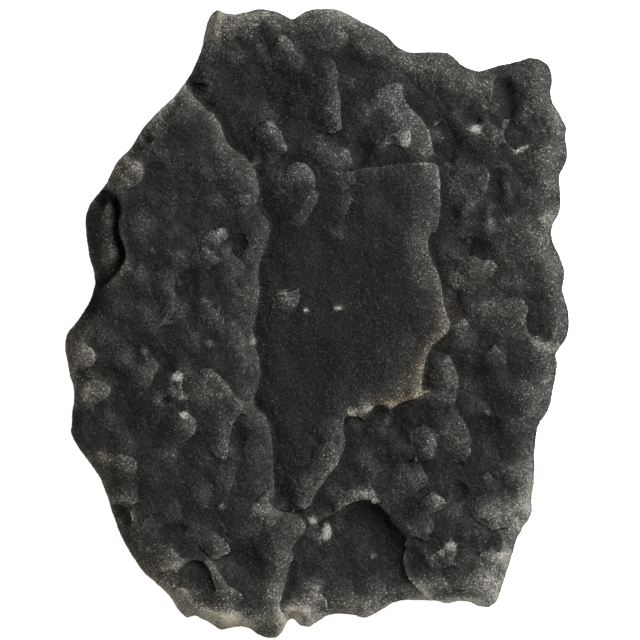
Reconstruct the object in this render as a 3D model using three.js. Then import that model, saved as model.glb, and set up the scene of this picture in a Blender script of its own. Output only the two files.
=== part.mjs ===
// Druzy chalcedony: one loose plate of dark chalcedony with a crust of fine quartz.
// Plates and smaller shells of crust overlap like shingles, with lobes, dents, swells and pits on them.
// Millimetres, +Z up, the origin under the middle of the stone on its flat back.
import * as THREE from "three";
import { ConvexHull } from "three/addons/math/ConvexHull.js";

// Driving dimensions
const SEED = 8;
const GROUND = 14; // height of the crust between the plates
const RIM_DROP = 3.4; // how far the crust rolls down to its outline
const RIM_WIDTH = 4.2; // how far in from the outline the roll begins
const BROW_WIDTH = 5.5; // how far the top of a plate rounds over to its brow
const BROW_SHARE = 0.5; // share of a plate's lift that is left at its brow
const SHELL_ROUND = 4; // how far the top of a shell rounds over to its brow
const SHELL_SHARE = 0.15; // share of a shell's lift that is left at its brow
const RISE_POWER = 1.5; // a region that rises does so slowly at first and faster towards its brow
const SHELL_BACK = [0.8, 0.2]; // the corners of a shell's back, as shares of the way along its brow
const CLIFF_RUN = 0.45; // plan distance from a brow to its foot
const UNDERCUT = 0.2; // how far a tall brow overhangs its foot
const TALL_CLIFF = 3; // drop that has the whole undercut
const LEAST_STEP = 0.35; // lower drops are left to the even mesh
const OUTLINE_SPACING = 2; // distance between corners along the outline
const BROW_SPACING = 1.9; // distance between corners along a brow
const MESH_SPACING = 1.77; // distance between the corners of the crust
const MESH_JITTER = 0.28; // share of the spacing by which corners stray
const CORNER_GAP = 1.15; // least distance from a brow or the outline to other corners
const LUMP_SPACING = 6.5; // distance between the small lumps all over the crust
const LUMP_RADIUS = [3, 5.5]; // least and most
const LUMP_HEIGHT = [0.3, 1.1]; // least and most
const LUMP_FACING = 25; // lumps rise towards this side and end there steeply, degrees from +X
const LUMP_SLANT = 0.8; // share of a lump's height that it gains towards that side
const CURVE_STEPS = 40; // steps between two points of a curve when its length is measured
const BACK_SPACING = 6; // distance between the corners of the flat back
const BACK_GAP = 2.5; // least distance from the edge of the back to those corners
const SIDE_STRAY = [-0.35, 0.35]; // how far a corner of the side strays in or out, least and most
const SIDE_WAVES = [
  { count: 9, share: 0.25, slant: 5 },
  { count: 23, share: 0.2, slant: -9 },
]; // waves round the side, share of the inset that each adds, turning as they go down
const SIDE_RINGS = [
  { inset: 0.6, share: 0.74 },
  { inset: 1.9, share: 0.44 },
  { inset: 3.8, share: 0.16 },
  { inset: 6.0, share: 0 },
]; // the side goes in and down from the outline, share of the rim's height

// The plan is in millimetres right of and below the upper left corner of the view
const PLAN_MIDDLE = { x: 63.49, y: 64.66 };

const OUTLINE = [
  [41.2, 4.8], [43, 1.8], [46.2, 2.9], [51.6, 1.6], [56.2, 2.5], [58.2, 3.8], [61.6, 2], [67.6, 1.9],
  [72.2, 4.1], [77.2, 6.9], [80.6, 10], [86, 10.3], [90, 10.6], [92.2, 12.7], [96, 14.2], [99.6, 13.1],
  [103.2, 12.3], [106.4, 11.3], [109.5, 12.7], [110.6, 15.6], [110, 19], [112.2, 23.2], [113.4, 25.4],
  [113.1, 27.6], [113.6, 30.6], [113.2, 32.8], [112, 34.6], [112.3, 40.6], [111.5, 43.6], [110.5, 45.2],
  [110.5, 47.6], [112.3, 51.8], [113.1, 54.8], [112.5, 57.6], [113.8, 62.4], [113.5, 67.2], [112, 69.6],
  [111.2, 70.8], [111.6, 72.6], [110.4, 79.2], [109.8, 81.8], [107.8, 85.2], [107, 90.4], [106.9, 96],
  [106.3, 100], [106.5, 102.8], [104.1, 106.4], [102.3, 111.6], [100.4, 117.8], [99.5, 120.4],
  [97.2, 121.8], [93.4, 120.4], [89.6, 120.7], [85.6, 120.1], [78.8, 120.6], [75.8, 122.5], [72.8, 123.7],
  [70, 122.9], [68, 123.1], [66.2, 122.9], [63.8, 124.4], [61.8, 125.6], [59.6, 125], [58, 123.3],
  [57.2, 125.3], [55.4, 127.6], [52.4, 127.4], [49.4, 125.4], [46.2, 125.5], [45.2, 126.2], [41.8, 124.5],
  [39, 123.1], [38, 123.7], [36.6, 123.2], [35, 120.8], [33.4, 118.6], [28.4, 114.1], [26.8, 111.5],
  [25.1, 109], [22.6, 103.4], [21.5, 99.4], [19.5, 94.8], [16.7, 91], [14.3, 87], [14.2, 84.6],
  [14.8, 80.4], [14.6, 77.2], [13.8, 74.4], [13.1, 69.4], [13.5, 66.6], [15.7, 63.8], [18.1, 59.8],
  [19, 56.4], [17.7, 50.4], [17.2, 42.4], [19.8, 38.5], [21.7, 36], [22.6, 33.6], [24.2, 31.4],
  [26, 29.8], [27.8, 27], [29, 25], [33.1, 20.9], [35.9, 18.2], [38.5, 13.8], [40.3, 9.4],
];

// Plates of crust, each lying over those before it.
// The lift is above the ground; a plate with a facing rises towards that side, degrees from +X.
const PLATES = [
  {
    // the middle plate, whose right and lower brows stand free
    lift: 4.6,
    facing: -25,
    lumps: 0.35,
    edge: [
      [48.8, 33], [55, 34], [62, 34.4], [68, 34.2], [71.4, 33.6], [76, 33], [80, 32.4], [85, 32.2],
      [87.6, 32.6], [88.2, 36], [88.4, 41],
      [88.2, 45.2], [87.2, 46.8], [86, 47.6], [86.4, 50.8], [87.6, 53.6], [88.6, 58], [89.8, 63],
      [90.6, 64.8], [88.8, 67.6], [86.6, 69.6], [85.4, 72.4], [84.8, 76.8], [84.4, 79.6], [81.4, 80.6],
      [78.8, 81.8], [77.6, 82.2], [76.6, 81], [74.8, 81.8], [72.8, 83.2], [70.8, 83.8], [69.4, 82.8],
      [69, 85], [69.4, 88], [68.8, 90.8], [66.8, 94.6], [63.6, 98.4], [62.2, 101.4], [59.2, 102.4],
      [54, 100], [52.4, 88], [48.8, 80], [48.8, 68], [49.6, 54],
    ],
  },
  {
    // the upper right plate
    lift: 1.6,
    facing: 40,
    edge: [
      [81, 8], [98, 11], [100, 13.2], [99.2, 15.6], [99, 18], [98.2, 21], [96.8, 23.2], [93, 24.2],
      [89, 23.6], [85, 22], [81, 18.4], [79.6, 13],
    ],
  },
  {
    // the left slab, the highest, from the top of the left side to the bottom
    lift: 6.4,
    lumps: 0.8,
    edge: [
      [35.6, 17.2], [37.6, 18.6], [39.8, 19.2], [41.2, 21.2], [43, 22.2], [44.6, 25.2], [45.8, 28.8],
      [48, 30.4], [50.4, 32], [51.8, 34.8], [52.4, 39.2], [52.4, 42], [53.8, 43.2], [54.4, 45.6],
      [53.6, 49.6], [52, 53.6], [52, 56.2], [52.4, 59.6], [51.2, 64.4], [51, 67.8], [52.2, 71.2],
      [52.4, 75.2], [51.6, 78.8], [50.8, 80.6], [52.4, 81.8], [54, 83.8], [55, 88.8], [55, 95.6],
      [56.4, 101.4], [58.4, 102.8], [61, 103.8], [61.6, 106], [60.4, 108], [58.8, 109.2], [59.4, 111],
      [58.2, 113], [57.8, 116], [57.2, 118.4], [56.2, 120.6], [57.4, 123.6], [56, 130], [30, 130], [6, 96],
      [6, 66], [14, 36], [30, 18],
    ],
  },
  {
    // the shelf below the left slab, at the left outline
    lift: 4.2,
    edge: [
      [12, 40], [18, 37.6], [21, 38.2], [23.8, 40.8], [23.4, 45], [23.8, 48.2], [25, 50.6], [23.8, 53.6],
      [21.6, 56], [19.2, 58], [12, 60],
    ],
  },
  {
    // the arched hollow at the lower outline
    lift: -3,
    facing: 60,
    lumps: 0.6,
    edge: [
      [60.6, 109.4], [63.6, 104.8], [67, 103], [69, 101.6], [71.4, 100.6], [74.4, 100.4], [76.2, 101.8],
      [78, 104.4], [80, 106.4], [80.6, 109], [80.2, 112], [81, 115], [82.4, 117.2], [84.8, 119.4],
      [84.8, 129], [58, 129], [58.4, 122], [60, 116],
    ],
  },
];

// Lobes and dents added to the plates: a lobe rises, and a dent sinks, towards its facing
const LOBES = [
  {
    // the large lobe above the middle plate
    lift: 1.9,
    facing: 10,
    edge: [
      [72, 22], [74.4, 18.4], [77.6, 16.4], [80, 16], [80.8, 18.4], [81.6, 20.6], [83.4, 22.4], [85, 24.2],
      [86.2, 26.8], [86.8, 29.4], [86.4, 32], [84.8, 32.8], [80, 32.8], [74, 32], [71.6, 28],
    ],
  },
  {
    // the dent near the lower left outline
    lift: -2.2,
    facing: 60,
    edge: [
      [36.6, 115], [37.6, 112.8], [39.6, 112], [41.2, 113], [42.2, 115.4], [42.8, 118], [41.2, 119.2],
      [39.2, 117.6],
    ],
  },
  {
    // the dent in the right outline
    lift: -1.8,
    facing: 200,
    edge: [
      [105.4, 63.6], [106, 61.6], [108.4, 60.8], [110.6, 62.4], [111.2, 65.6], [110, 68], [107.6, 68],
      [105.8, 66.6],
    ],
  },
  {
    // the dent between the large lobe and the upper right plate
    lift: -1,
    facing: 180,
    edge: [
      [86.8, 27], [88, 24.8], [91, 24.2], [93.2, 25.6], [93.6, 28.4], [92.4, 31.6], [89, 32.2], [87.2, 30.4],
    ],
  },
  {
    // the dent near the upper right outline
    lift: -1.4,
    facing: 200,
    edge: [[101, 26.4], [102, 24.4], [104.4, 24.4], [105.8, 26.6], [105.6, 29], [103.6, 30], [101.6, 28.8]],
  },
  {
    // the notch in the left outline
    lift: -3,
    facing: 90,
    edge: [[20.6, 101.6], [24, 101.2], [25.8, 102.4], [26.2, 104.4], [24.4, 105.6], [20.6, 105.6]],
  },
  {
    // the hole at the top of the left slab
    lift: -2,
    facing: 90,
    edge: [[37.6, 17], [39.2, 16.6], [40, 18], [39.4, 19.2], [37.8, 18.8]],
  },
];

// Shells lie over the plates and end at a brow, with the shell to the right of one who goes along it.
// A shell is highest near its brow and thins out to its back, which lies its width behind the brow's ends.
const SHELLS = [
  // the top, from the left
  { lift: 1.6, width: 7.8, edge: [[46.2, 2.8], [47.6, 4], [47.6, 6.2], [46.8, 7.8], [45.2, 8.2]] },
  { lift: 1.1, width: 6.5, edge: [[51.6, 2.4], [53.2, 3.8], [52.2, 5.6], [50.4, 6.2]] },
  {
    lift: 1.8,
    width: 5.2,
    edge: [[55.4, 7.6], [56.2, 6.8], [57.6, 7.2], [58.6, 8.6], [59.2, 9.8], [58, 10.8]],
  },
  { lift: 1.1, width: 6.5, edge: [[66, 5.8], [68.4, 6], [70, 7.4], [69.4, 9], [67.6, 9.6]] },
  {
    lift: 2,
    width: 7.8,
    edge: [
      [66.8, 11.6], [68, 14.4], [67.8, 17.2], [68.6, 19.8], [68.2, 22], [68.6, 24.8], [68, 26.6],
      [66.6, 27.2],
    ],
  },
  {
    lift: 2.7,
    width: 7.8,
    edge: [
      [51.2, 25.4], [52.6, 24.4], [54.2, 24], [55.8, 25.2], [56.8, 27], [57.2, 28.6], [57.8, 30],
      [56.8, 31.2],
    ],
  },
  {
    lift: 2,
    width: 7.8,
    edge: [[64.8, 28.2], [66.8, 28.8], [68.8, 29.2], [70.2, 30.2], [70.4, 32], [69.6, 33.4]],
  },
  {
    lift: 1.6,
    width: 7.8,
    edge: [[68.6, 33.2], [70, 33.8], [70.8, 35], [71.6, 35.8], [71.4, 37], [70.4, 37.8]],
  },
  { lift: 1.3, width: 6.5, edge: [[69.8, 38.2], [70.8, 39.4], [70.4, 41.2], [69.6, 43], [68.6, 44.6]] },
  {
    lift: 2.2,
    width: 9.1,
    edge: [
      [57.6, 32.8], [59.4, 31.8], [61.2, 32.6], [62.6, 33.8], [63.2, 35.2], [63.4, 36.6], [62.6, 37.6],
      [61.2, 38],
    ],
  },
  {
    lift: 1.8,
    width: 7.8,
    edge: [
      [60, 38], [61.8, 37.6], [63.4, 38.4], [63.8, 39.8], [63, 41.6], [62.2, 43.2], [61.6, 44.4],
      [60.4, 45.8],
    ],
  },
  {
    lift: 1.8,
    width: 6.5,
    edge: [
      [76.8, 27.4], [78.6, 26.4], [80.2, 25.4], [81.6, 25], [82.4, 26.6], [82.2, 29], [80.8, 30],
      [79.4, 29.2],
    ],
  },
  // the left slab, from the top
  {
    lift: 3.1,
    width: 7.8,
    edge: [
      [24.8, 31.6], [26.8, 31.8], [28.4, 32.6], [29.4, 34], [29.4, 35.6], [28.2, 37], [26.4, 37.8],
    ],
  },
  {
    lift: 1.3,
    width: 6.5,
    edge: [
      [46.4, 39.8], [47.6, 38.6], [49.6, 38.2], [51.4, 39], [52.6, 40.6], [52.2, 42], [50.8, 42.8],
    ],
  },
  {
    lift: 2.3,
    width: 6.5,
    edge: [[40.8, 47], [42.4, 45.6], [44.8, 45.6], [46, 46.8], [45.4, 48.4], [43.8, 49.4]],
  },
  {
    lift: 1.6,
    width: 9.1,
    edge: [
      [38.4, 48.2], [40.8, 48.4], [42.8, 49.8], [44, 51.2], [44.2, 52.8], [42.8, 53.8], [40.4, 54.4],
    ],
  },
  { lift: 1.4, width: 6.5, edge: [[45.4, 49.2], [47, 50.8], [48.6, 52.2], [49.8, 53.8]] },
  {
    lift: 1.1,
    width: 10.4,
    edge: [
      [34.4, 55.2], [35.6, 58], [35.2, 61.2], [34.6, 63.6], [33.2, 65], [31.4, 66.4], [29.6, 67.6],
    ],
  },
  {
    lift: 1.4,
    width: 7.8,
    edge: [[40, 60.6], [41.2, 59.8], [42.8, 61.2], [44.4, 62.8], [44.8, 64.8], [43.6, 66.2]],
  },
  {
    lift: 1.6,
    width: 7.8,
    edge: [
      [29.6, 70.4], [31.2, 71.2], [32.4, 72.2], [32.6, 73.8], [31.6, 75], [31.2, 76.6], [29.8, 78],
    ],
  },
  { lift: 1.4, width: 6.5, edge: [[47, 69], [48, 67], [49.6, 66.6], [51, 67.4], [51.6, 69.2]] },
  {
    lift: 2,
    width: 9.1,
    edge: [
      [39, 74.6], [40.4, 73.2], [42.4, 73.4], [43.8, 74.6], [45, 75.6], [46.2, 77], [47.4, 78.8],
    ],
  },
  {
    lift: 1.8,
    width: 5.2,
    edge: [
      [33.4, 76], [34.4, 74.6], [36.2, 74.2], [37, 75.4], [36.2, 76.8], [37.6, 78.2], [37.6, 79.6],
      [36.4, 80.8],
    ],
  },
  {
    lift: 1.6,
    width: 5.2,
    edge: [
      [35.2, 82.8], [36.4, 82], [38, 82.4], [39.4, 83.2], [39.8, 85.6], [38.8, 87.6], [37.2, 88.2],
    ],
  },
  {
    lift: 2.2,
    width: 7.8,
    edge: [
      [50.8, 80.8], [49.4, 82.4], [47.8, 83.6], [46.6, 85.6], [46.2, 88], [46, 90.4], [45.2, 92.4],
    ],
  },
  {
    lift: 2.3,
    width: 7.8,
    edge: [[14.8, 68], [17.2, 68.4], [19.4, 69.8], [19.8, 71.6], [19.2, 73.2], [17.6, 74.2]],
  },
  {
    lift: 2.2,
    width: 9.1,
    edge: [[16.4, 76.2], [19.6, 75.6], [22.4, 77], [22.8, 78.8], [21, 80.4], [18.6, 82.2]],
  },
  { lift: 1.6, width: 6.5, edge: [[17.6, 90.4], [20.8, 90], [24.4, 90.4], [27.2, 91.4], [28, 93]] },
  { lift: 1.6, width: 5.2, edge: [[28, 99.4], [26.8, 101.2], [24.4, 101.4], [22.4, 101]] },
  {
    lift: 1.8,
    width: 7.8,
    edge: [
      [50.8, 100.4], [52.4, 98.4], [54, 97.6], [55, 98.8], [55, 100.4], [56.2, 102], [56.6, 103.6],
      [55.2, 105],
    ],
  },
  { lift: 2.3, width: 6.5, edge: [[36.8, 112], [36, 113.6], [34, 114.2], [31.6, 114.6], [29.8, 115.4]] },
  { lift: 2.2, width: 7.8, edge: [[46.4, 109], [46.2, 110.6], [44.8, 111.6], [43.4, 112.4]] },
  {
    lift: 2,
    width: 5.2,
    edge: [
      [41.2, 111.4], [42.6, 112.4], [43.8, 113.8], [45, 115.6], [46.6, 116.8], [48.2, 118.2],
      [49.2, 119.8],
    ],
  },
  { lift: 1.6, width: 6.5, edge: [[34.8, 117.4], [36.8, 116.6], [38.2, 118], [37.6, 120]] },
  { lift: 1.4, width: 5.2, edge: [[57.8, 117.2], [57, 119.4], [55, 120.6], [52.8, 120.6]] },
  // the right side, from the top
  {
    lift: 1.8,
    width: 7.8,
    edge: [[95.6, 24.4], [97.4, 23.6], [98.8, 24.6], [99.8, 26.4], [100.2, 28], [99.6, 29.8]],
  },
  { lift: 1.3, width: 10.4, edge: [[96.8, 32.6], [98, 34.4], [98, 36.4], [97.4, 38.4], [96, 40.2]] },
  { lift: 1.1, width: 6.5, edge: [[92.4, 40.2], [94, 39.4], [95.4, 40.4], [96, 42.2]] },
  { lift: 0.9, width: 6.5, edge: [[98.2, 40.6], [99.8, 42], [101, 43.4], [102.4, 44.8]] },
  {
    lift: 1.8,
    width: 7.8,
    edge: [
      [91.6, 51.6], [93.2, 50.6], [95, 51], [96.6, 51.8], [98.2, 51.4], [99.4, 52.6], [99.4, 54.4],
    ],
  },
  { lift: 1.4, width: 6.5, edge: [[89.6, 63.6], [91.6, 63], [93.4, 63.6], [94.2, 65], [93.2, 66.6]] },
  { lift: 1.1, width: 6.5, edge: [[96.8, 59.2], [98.6, 59.8], [100.2, 61.2], [100.6, 62.8], [99.6, 63.8]] },
  {
    lift: 1.6,
    width: 9.1,
    edge: [[104.2, 59], [105.4, 61.2], [105.4, 63.6], [105.8, 65.6], [106.8, 67.4]],
  },
  {
    lift: 1.8,
    width: 6.5,
    edge: [[105.6, 67.4], [107.2, 68.4], [108.6, 69.8], [110.4, 70.4], [112.2, 69.8]],
  },
  {
    lift: 2,
    width: 6.5,
    edge: [
      [88.2, 70.4], [90, 70.6], [91, 72.8], [92, 75], [92.2, 77.6], [91.4, 79.6], [91, 81.6], [90, 83],
    ],
  },
  { lift: 1.3, width: 6.5, edge: [[96.4, 70.8], [98, 69.6], [99.8, 69.6], [101, 70.8]] },
  {
    lift: 2.5,
    width: 7.8,
    edge: [
      [83.2, 85.2], [85.4, 84.8], [87, 86.2], [87.6, 88.6], [87.6, 90.8], [86.2, 92.2], [83.6, 92.4],
    ],
  },
  {
    lift: 2.5,
    width: 7.8,
    edge: [
      [90, 81.4], [92, 82.8], [93.2, 84.6], [94.2, 86.6], [94.4, 88.8], [94.2, 91], [93.2, 92.4],
    ],
  },
  {
    lift: 1.6,
    width: 7.8,
    edge: [[80, 92], [82.4, 92.2], [84.2, 93.6], [85.6, 95.2], [86.2, 96.8], [84.8, 97.6]],
  },
  {
    lift: 1.8,
    width: 6.5,
    edge: [[85.2, 98.8], [86.6, 98], [88.2, 99], [89.6, 100.2], [89.6, 101.4], [88, 102]],
  },
  {
    lift: 1.4,
    width: 6.5,
    edge: [[85.4, 103], [86.8, 104], [87, 105.8], [86.2, 107.4], [84.8, 108.2], [82.6, 107.4]],
  },
  {
    lift: 2.9,
    width: 6.5,
    edge: [
      [88, 109.6], [89.2, 108.2], [91, 108.2], [91.8, 109.6], [91, 111.2], [91, 112.8], [89.6, 113.6],
    ],
  },
  { lift: 1.6, width: 5.2, edge: [[96.2, 95], [97.4, 94], [98.6, 95.2], [99, 97.2]] },
  {
    lift: 1.8,
    width: 7.8,
    edge: [[102.8, 102.8], [101.6, 104.2], [100.2, 106], [98.2, 106.2], [96.8, 105], [95, 104.2]],
  },
  { lift: 1.4, width: 6.5, edge: [[95.6, 110.4], [97.4, 109.6], [99.4, 110.2], [100.6, 112]] },
  // the middle plate, the arch over the hollow and the hollow
  {
    lift: 2,
    width: 7.8,
    edge: [[54.6, 59.4], [56.4, 58], [58, 58.2], [59.8, 57.4], [60.4, 59.4], [59.4, 61.8]],
  },
  { lift: 1.3, width: 10.4, edge: [[63.6, 88.6], [66, 88.2], [68.2, 89], [69.2, 90.8]] },
  {
    lift: 1.8,
    width: 6.5,
    edge: [[75.8, 99.8], [73.8, 100.4], [71.8, 100.2], [70.2, 100.6], [68.4, 101.8], [66.4, 103.2]],
  },
  {
    lift: 3.1,
    width: 5.2,
    edge: [[63.8, 105.8], [65.2, 104.6], [66.4, 105.6], [66.4, 107.4], [65.2, 108.6]],
  },
  { lift: 1.1, width: 6.5, edge: [[61.2, 118], [63.4, 117.6], [65.2, 119.2], [66, 121.4]] },
];

// Round lumps, each with a crease at its foot: x, y, radius across, radius along, turn, height
const LUMPS = [
  [49.8, 46.4, 3.8, 6, 0, 1],
  [48.4, 59.8, 4, 4.4, 0, 0.9],
  [77.8, 18.6, 4.6, 3.6, 0, 1.2],
  [107.6, 18, 4.2, 6.8, 0, 2],
  [109, 33.6, 4, 5.2, 0, 1.2],
  [106, 41, 4.8, 4.4, 0, 0.8],
  [107, 50.4, 4.8, 3.6, 0, 0.9],
  [85.2, 111.2, 1.8, 2, 0, 1.2],
  [96.4, 116.6, 4.6, 3.8, 0, 1.4],
  [75.6, 86, 3.2, 3, 0, 0.8],
];

// Soft swells and, with a height below nought, pits: x, y, radius across, radius along, turn, height
const SWELLS = [
  // the left slab, from the top
  [37, 23.6, 4.8, 4.4, 0, 1],
  [46.4, 34.4, 5.2, 4.4, 0, 1.2],
  [34.4, 36, 6.8, 6, 0, -1],
  [48, 49.2, 1.8, 3, -20, -1.2],
  [37.2, 57, 4, 4, 0, -1],
  [30, 47, 5, 8, 30, 0.5],
  [16.4, 74.8, 2, 1.2, 0, -1.5],
  [29, 75, 4.4, 4, 0, 1],
  [33, 80.4, 1.2, 1.2, 0, -1.8],
  [38, 85, 5.6, 3.6, 0, 0.8],
  [28, 83.6, 7.2, 5.2, 0, -1.2],
  [25, 91.2, 6.4, 3.6, -15, 0.9],
  [32, 88, 4.4, 2.8, 0, -0.6],
  [45, 90, 4, 4, 0, 0.7],
  [48, 88, 1.6, 4.4, -10, -1],
  [53, 101.6, 4, 4.4, 0, 1],
  [44, 101, 1.6, 1.6, 0, 0.7],
  [35, 106, 5.2, 2, 10, -0.7],
  [50, 113.2, 6.4, 7.6, 0, -2.4],
  [44, 116, 2, 4.8, 30, 0.9],
  [53, 124, 4.4, 3.2, 0, 0.8],
  // the top basin and its rim
  [53.6, 10, 2, 2.8, 0, -0.9],
  [52.4, 18.4, 11, 9, 0, -1.8],
  [62, 22, 4.4, 8, 0, -0.8],
  [72.4, 12.4, 7.2, 4, 0, -1],
  [72.4, 29.6, 2.6, 4, 0, -1.2],
  [64, 31.6, 9, 4.6, 0, 1.1],
  // the middle plate and the slope under it
  [67.4, 46.8, 3.6, 2.8, 0, 0.6],
  [57.4, 59.8, 3, 3, 0, 1],
  [74, 42, 4, 3.6, 0, 0.4],
  [70, 54, 10, 8, 0, -0.6],
  [62, 72, 8, 7.2, 0, -0.8],
  [78, 70, 6, 5.2, 0, 0.4],
  [66, 89, 4, 5.2, 20, 0.8],
  [60, 98, 4.4, 4.8, 0, 0.6],
  // the right side, from the top
  [91, 17, 6.4, 4.8, 0, 0.7],
  [101.6, 19.6, 2.8, 6.8, 10, -2],
  [99.4, 38, 1.6, 6.4, 0, -1.2],
  [90, 43, 2, 4.4, 0, -0.8],
  [94, 49.2, 5.2, 2.4, 0, -1.5],
  [91, 60, 2, 3.6, 0, -0.9],
  [109, 69.4, 4.4, 1.6, -30, 1],
  [99.4, 70.4, 2.4, 1.8, 0, 0.9],
  [95.6, 74.4, 5.2, 2.8, 0, -0.8],
  [104, 79, 5.2, 4.4, 0, 0.7],
  [96.4, 85, 4.4, 3.2, 0, -1.4],
  [92, 98, 1.2, 3.6, 0, -1.2],
  [102, 94, 4, 4.4, 0, 0.6],
  [97, 109, 5.6, 2.4, 0, -1.3],
  // between the middle plate and the hollow, and in the hollow
  [80, 86, 2.4, 4, 0, -1],
  [73, 92, 4.4, 3.6, 0, 0.6],
  [66, 101, 3.6, 2, 30, -1],
  [62.4, 117, 3.2, 3.6, 0, 0.9],
  [72, 121, 8, 2.8, 0, 1],
];

// An even random number between a least and a most value
function between([least, most]) {
  return THREE.MathUtils.lerp(least, most, THREE.MathUtils.seededRandom());
}

function planPoint([x, y]) {
  return new THREE.Vector2(x - PLAN_MIDDLE.x, PLAN_MIDDLE.y - y);
}

// Even corners along a smooth closed curve through the given plan points
function smoothLoop(points, spacing) {
  const corners = points.map(planPoint).map((p) => new THREE.Vector3(p.x, p.y, 0));
  const curve = new THREE.CatmullRomCurve3(corners, true, "centripetal");
  curve.arcLengthDivisions = CURVE_STEPS * corners.length;
  const count = Math.round(curve.getLength() / spacing);
  const places = curve.getSpacedPoints(count).slice(0, count);
  return places.map((p) => new THREE.Vector2(p.x, p.y));
}

// Distance from a point to the edge of a loop, above nought inside it
function depthIn(loop, point) {
  let nearest = Infinity;
  let inside = false;
  let a = loop[loop.length - 1];
  for (const b of loop) {
    const edgeX = b.x - a.x;
    const edgeY = b.y - a.y;
    const along = ((point.x - a.x) * edgeX + (point.y - a.y) * edgeY) / (edgeX * edgeX + edgeY * edgeY);
    const share = THREE.MathUtils.clamp(along, 0, 1);
    nearest = Math.min(nearest, Math.hypot(a.x + share * edgeX - point.x, a.y + share * edgeY - point.y));
    const crosses = a.y > point.y !== b.y > point.y;
    if (crosses && point.x < a.x + (edgeX * (point.y - a.y)) / edgeY) inside = !inside;
    a = b;
  }
  return inside ? nearest : -nearest;
}

// Unit direction across the way from one corner of an edge to another, to its right
function rightOf(before, after) {
  return new THREE.Vector2(after.y - before.y, before.x - after.x).normalize();
}

// A region that rises towards one side, with the span over which it does
function layRise(lift, lumps, loop, towards) {
  const reach = loop.map((p) => p.dot(towards));
  return { lift, lumps, loop, towards, low: Math.min(...reach), high: Math.max(...reach) };
}

function layRegion({ lift, facing, lumps = 1, edge }) {
  const loop = smoothLoop(edge, BROW_SPACING);
  if (facing === undefined) return { lift, lumps, loop };
  const angle = THREE.MathUtils.degToRad(facing);
  return layRise(lift, lumps, loop, new THREE.Vector2(Math.cos(angle), Math.sin(angle)));
}

// A shell is a region closed by its back, and rises from there to its brow
function layShell({ lift, width, edge }) {
  const [startX, startY] = edge[0];
  const [endX, endY] = edge.at(-1);
  const inward = rightOf(planPoint(edge[0]), planPoint(edge.at(-1)));
  const back = SHELL_BACK.map((share) => [
    THREE.MathUtils.lerp(startX, endX, share) + width * inward.x,
    THREE.MathUtils.lerp(startY, endY, share) - width * inward.y,
  ]);
  return layRise(lift, 1, smoothLoop([...edge, ...back], BROW_SPACING), inward.negate());
}

// How much of its lift a rising region has at a point
function riseAt({ towards, low, high }, point) {
  if (!towards) return 1;
  const share = (point.dot(towards) - low) / (high - low);
  return Math.max(0, share) ** RISE_POWER;
}

// Height a region adds at a point, undefined outside it
function liftAt(region, point) {
  const depth = depthIn(region.loop, point);
  if (depth < 0) return undefined;
  const brow = Math.max(0, 1 - depth / BROW_WIDTH);
  const round = BROW_SHARE + (1 - BROW_SHARE) * Math.sqrt(1 - brow * brow);
  return region.lift * round * riseAt(region, point);
}

// Height a shell adds at a point: it ends in a step at its brow, and softly elsewhere
function shellAt(shell, point) {
  const depth = depthIn(shell.loop, point);
  if (depth < 0) return 0;
  const rise = riseAt(shell, point);
  const step = SHELL_SHARE * rise * rise;
  const brow = Math.max(0, 1 - depth / SHELL_ROUND);
  return shell.lift * rise * (step + (1 - step) * Math.sqrt(1 - brow * brow));
}

// How far out a point is over a lump or swell: nought at its middle, 1 at its edge, squared
function reachOver([x, y, across, along, turn], point) {
  const from = point.clone().sub(planPoint([x, y]));
  from.rotateAround(new THREE.Vector2(), -THREE.MathUtils.degToRad(turn));
  return (from.x / across) ** 2 + (from.y / along) ** 2;
}

function swellAt(swell, point) {
  const reach = reachOver(swell, point);
  return reach < 1 ? swell.at(-1) * (1 - reach) ** 2 : 0;
}

// How far towards the side that lumps face a point lies on a lump: -1 at its back, 1 at its front
function frontOn([x, y, across, along], point) {
  const angle = THREE.MathUtils.degToRad(LUMP_FACING);
  const from = point.clone().sub(planPoint([x, y]));
  return (from.x * Math.cos(angle) + from.y * Math.sin(angle)) / Math.max(across, along);
}

// Height of the tallest lump over a point, with a crease where two lumps meet
function lumpAt(point) {
  const heights = lumps.map((lump) => {
    const cap = lump.at(-1) * Math.max(0, 1 - reachOver(lump, point));
    return cap * (1 + LUMP_SLANT * frontOn(lump, point));
  });
  return Math.max(0, ...heights);
}

THREE.MathUtils.seededRandom(SEED);
const outline = smoothLoop(OUTLINE, OUTLINE_SPACING);
const plates = PLATES.map(layRegion);
const lobes = LOBES.map(layRegion);
const shells = SHELLS.map(layShell);
const clearOfLumps = (point) => LUMPS.every((lump) => reachOver(lump, point) > 1);
const lumps = [...LUMPS, ...strayNet(LUMP_SPACING, clearOfLumps).map(smallLump)];

// A small lump of the crust, lower where its plate is smooth
function smallLump(middle) {
  const plate = plates.findLast(({ loop }) => depthIn(loop, middle) > 0);
  const radius = between(LUMP_RADIUS);
  const height = between(LUMP_HEIGHT) * (plate?.lumps ?? 1);
  return [middle.x + PLAN_MIDDLE.x, PLAN_MIDDLE.y - middle.y, radius, radius, 0, height];
}

// Height of the crust over a point of the plan
function crustHeight(point) {
  let height = GROUND;
  for (const plate of plates) {
    const lift = liftAt(plate, point);
    if (lift !== undefined) height = GROUND + lift;
  }
  height += lumpAt(point);
  height += Math.max(...shells.map((shell) => shellAt(shell, point)));
  for (const lobe of lobes) height += liftAt(lobe, point) ?? 0;
  for (const swell of SWELLS) height += swellAt(swell, point);
  const roll = THREE.MathUtils.clamp(1 - depthIn(outline, point) / RIM_WIDTH, 0, 1);
  return height - RIM_DROP * (1 - Math.sqrt(1 - roll * roll));
}

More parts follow.
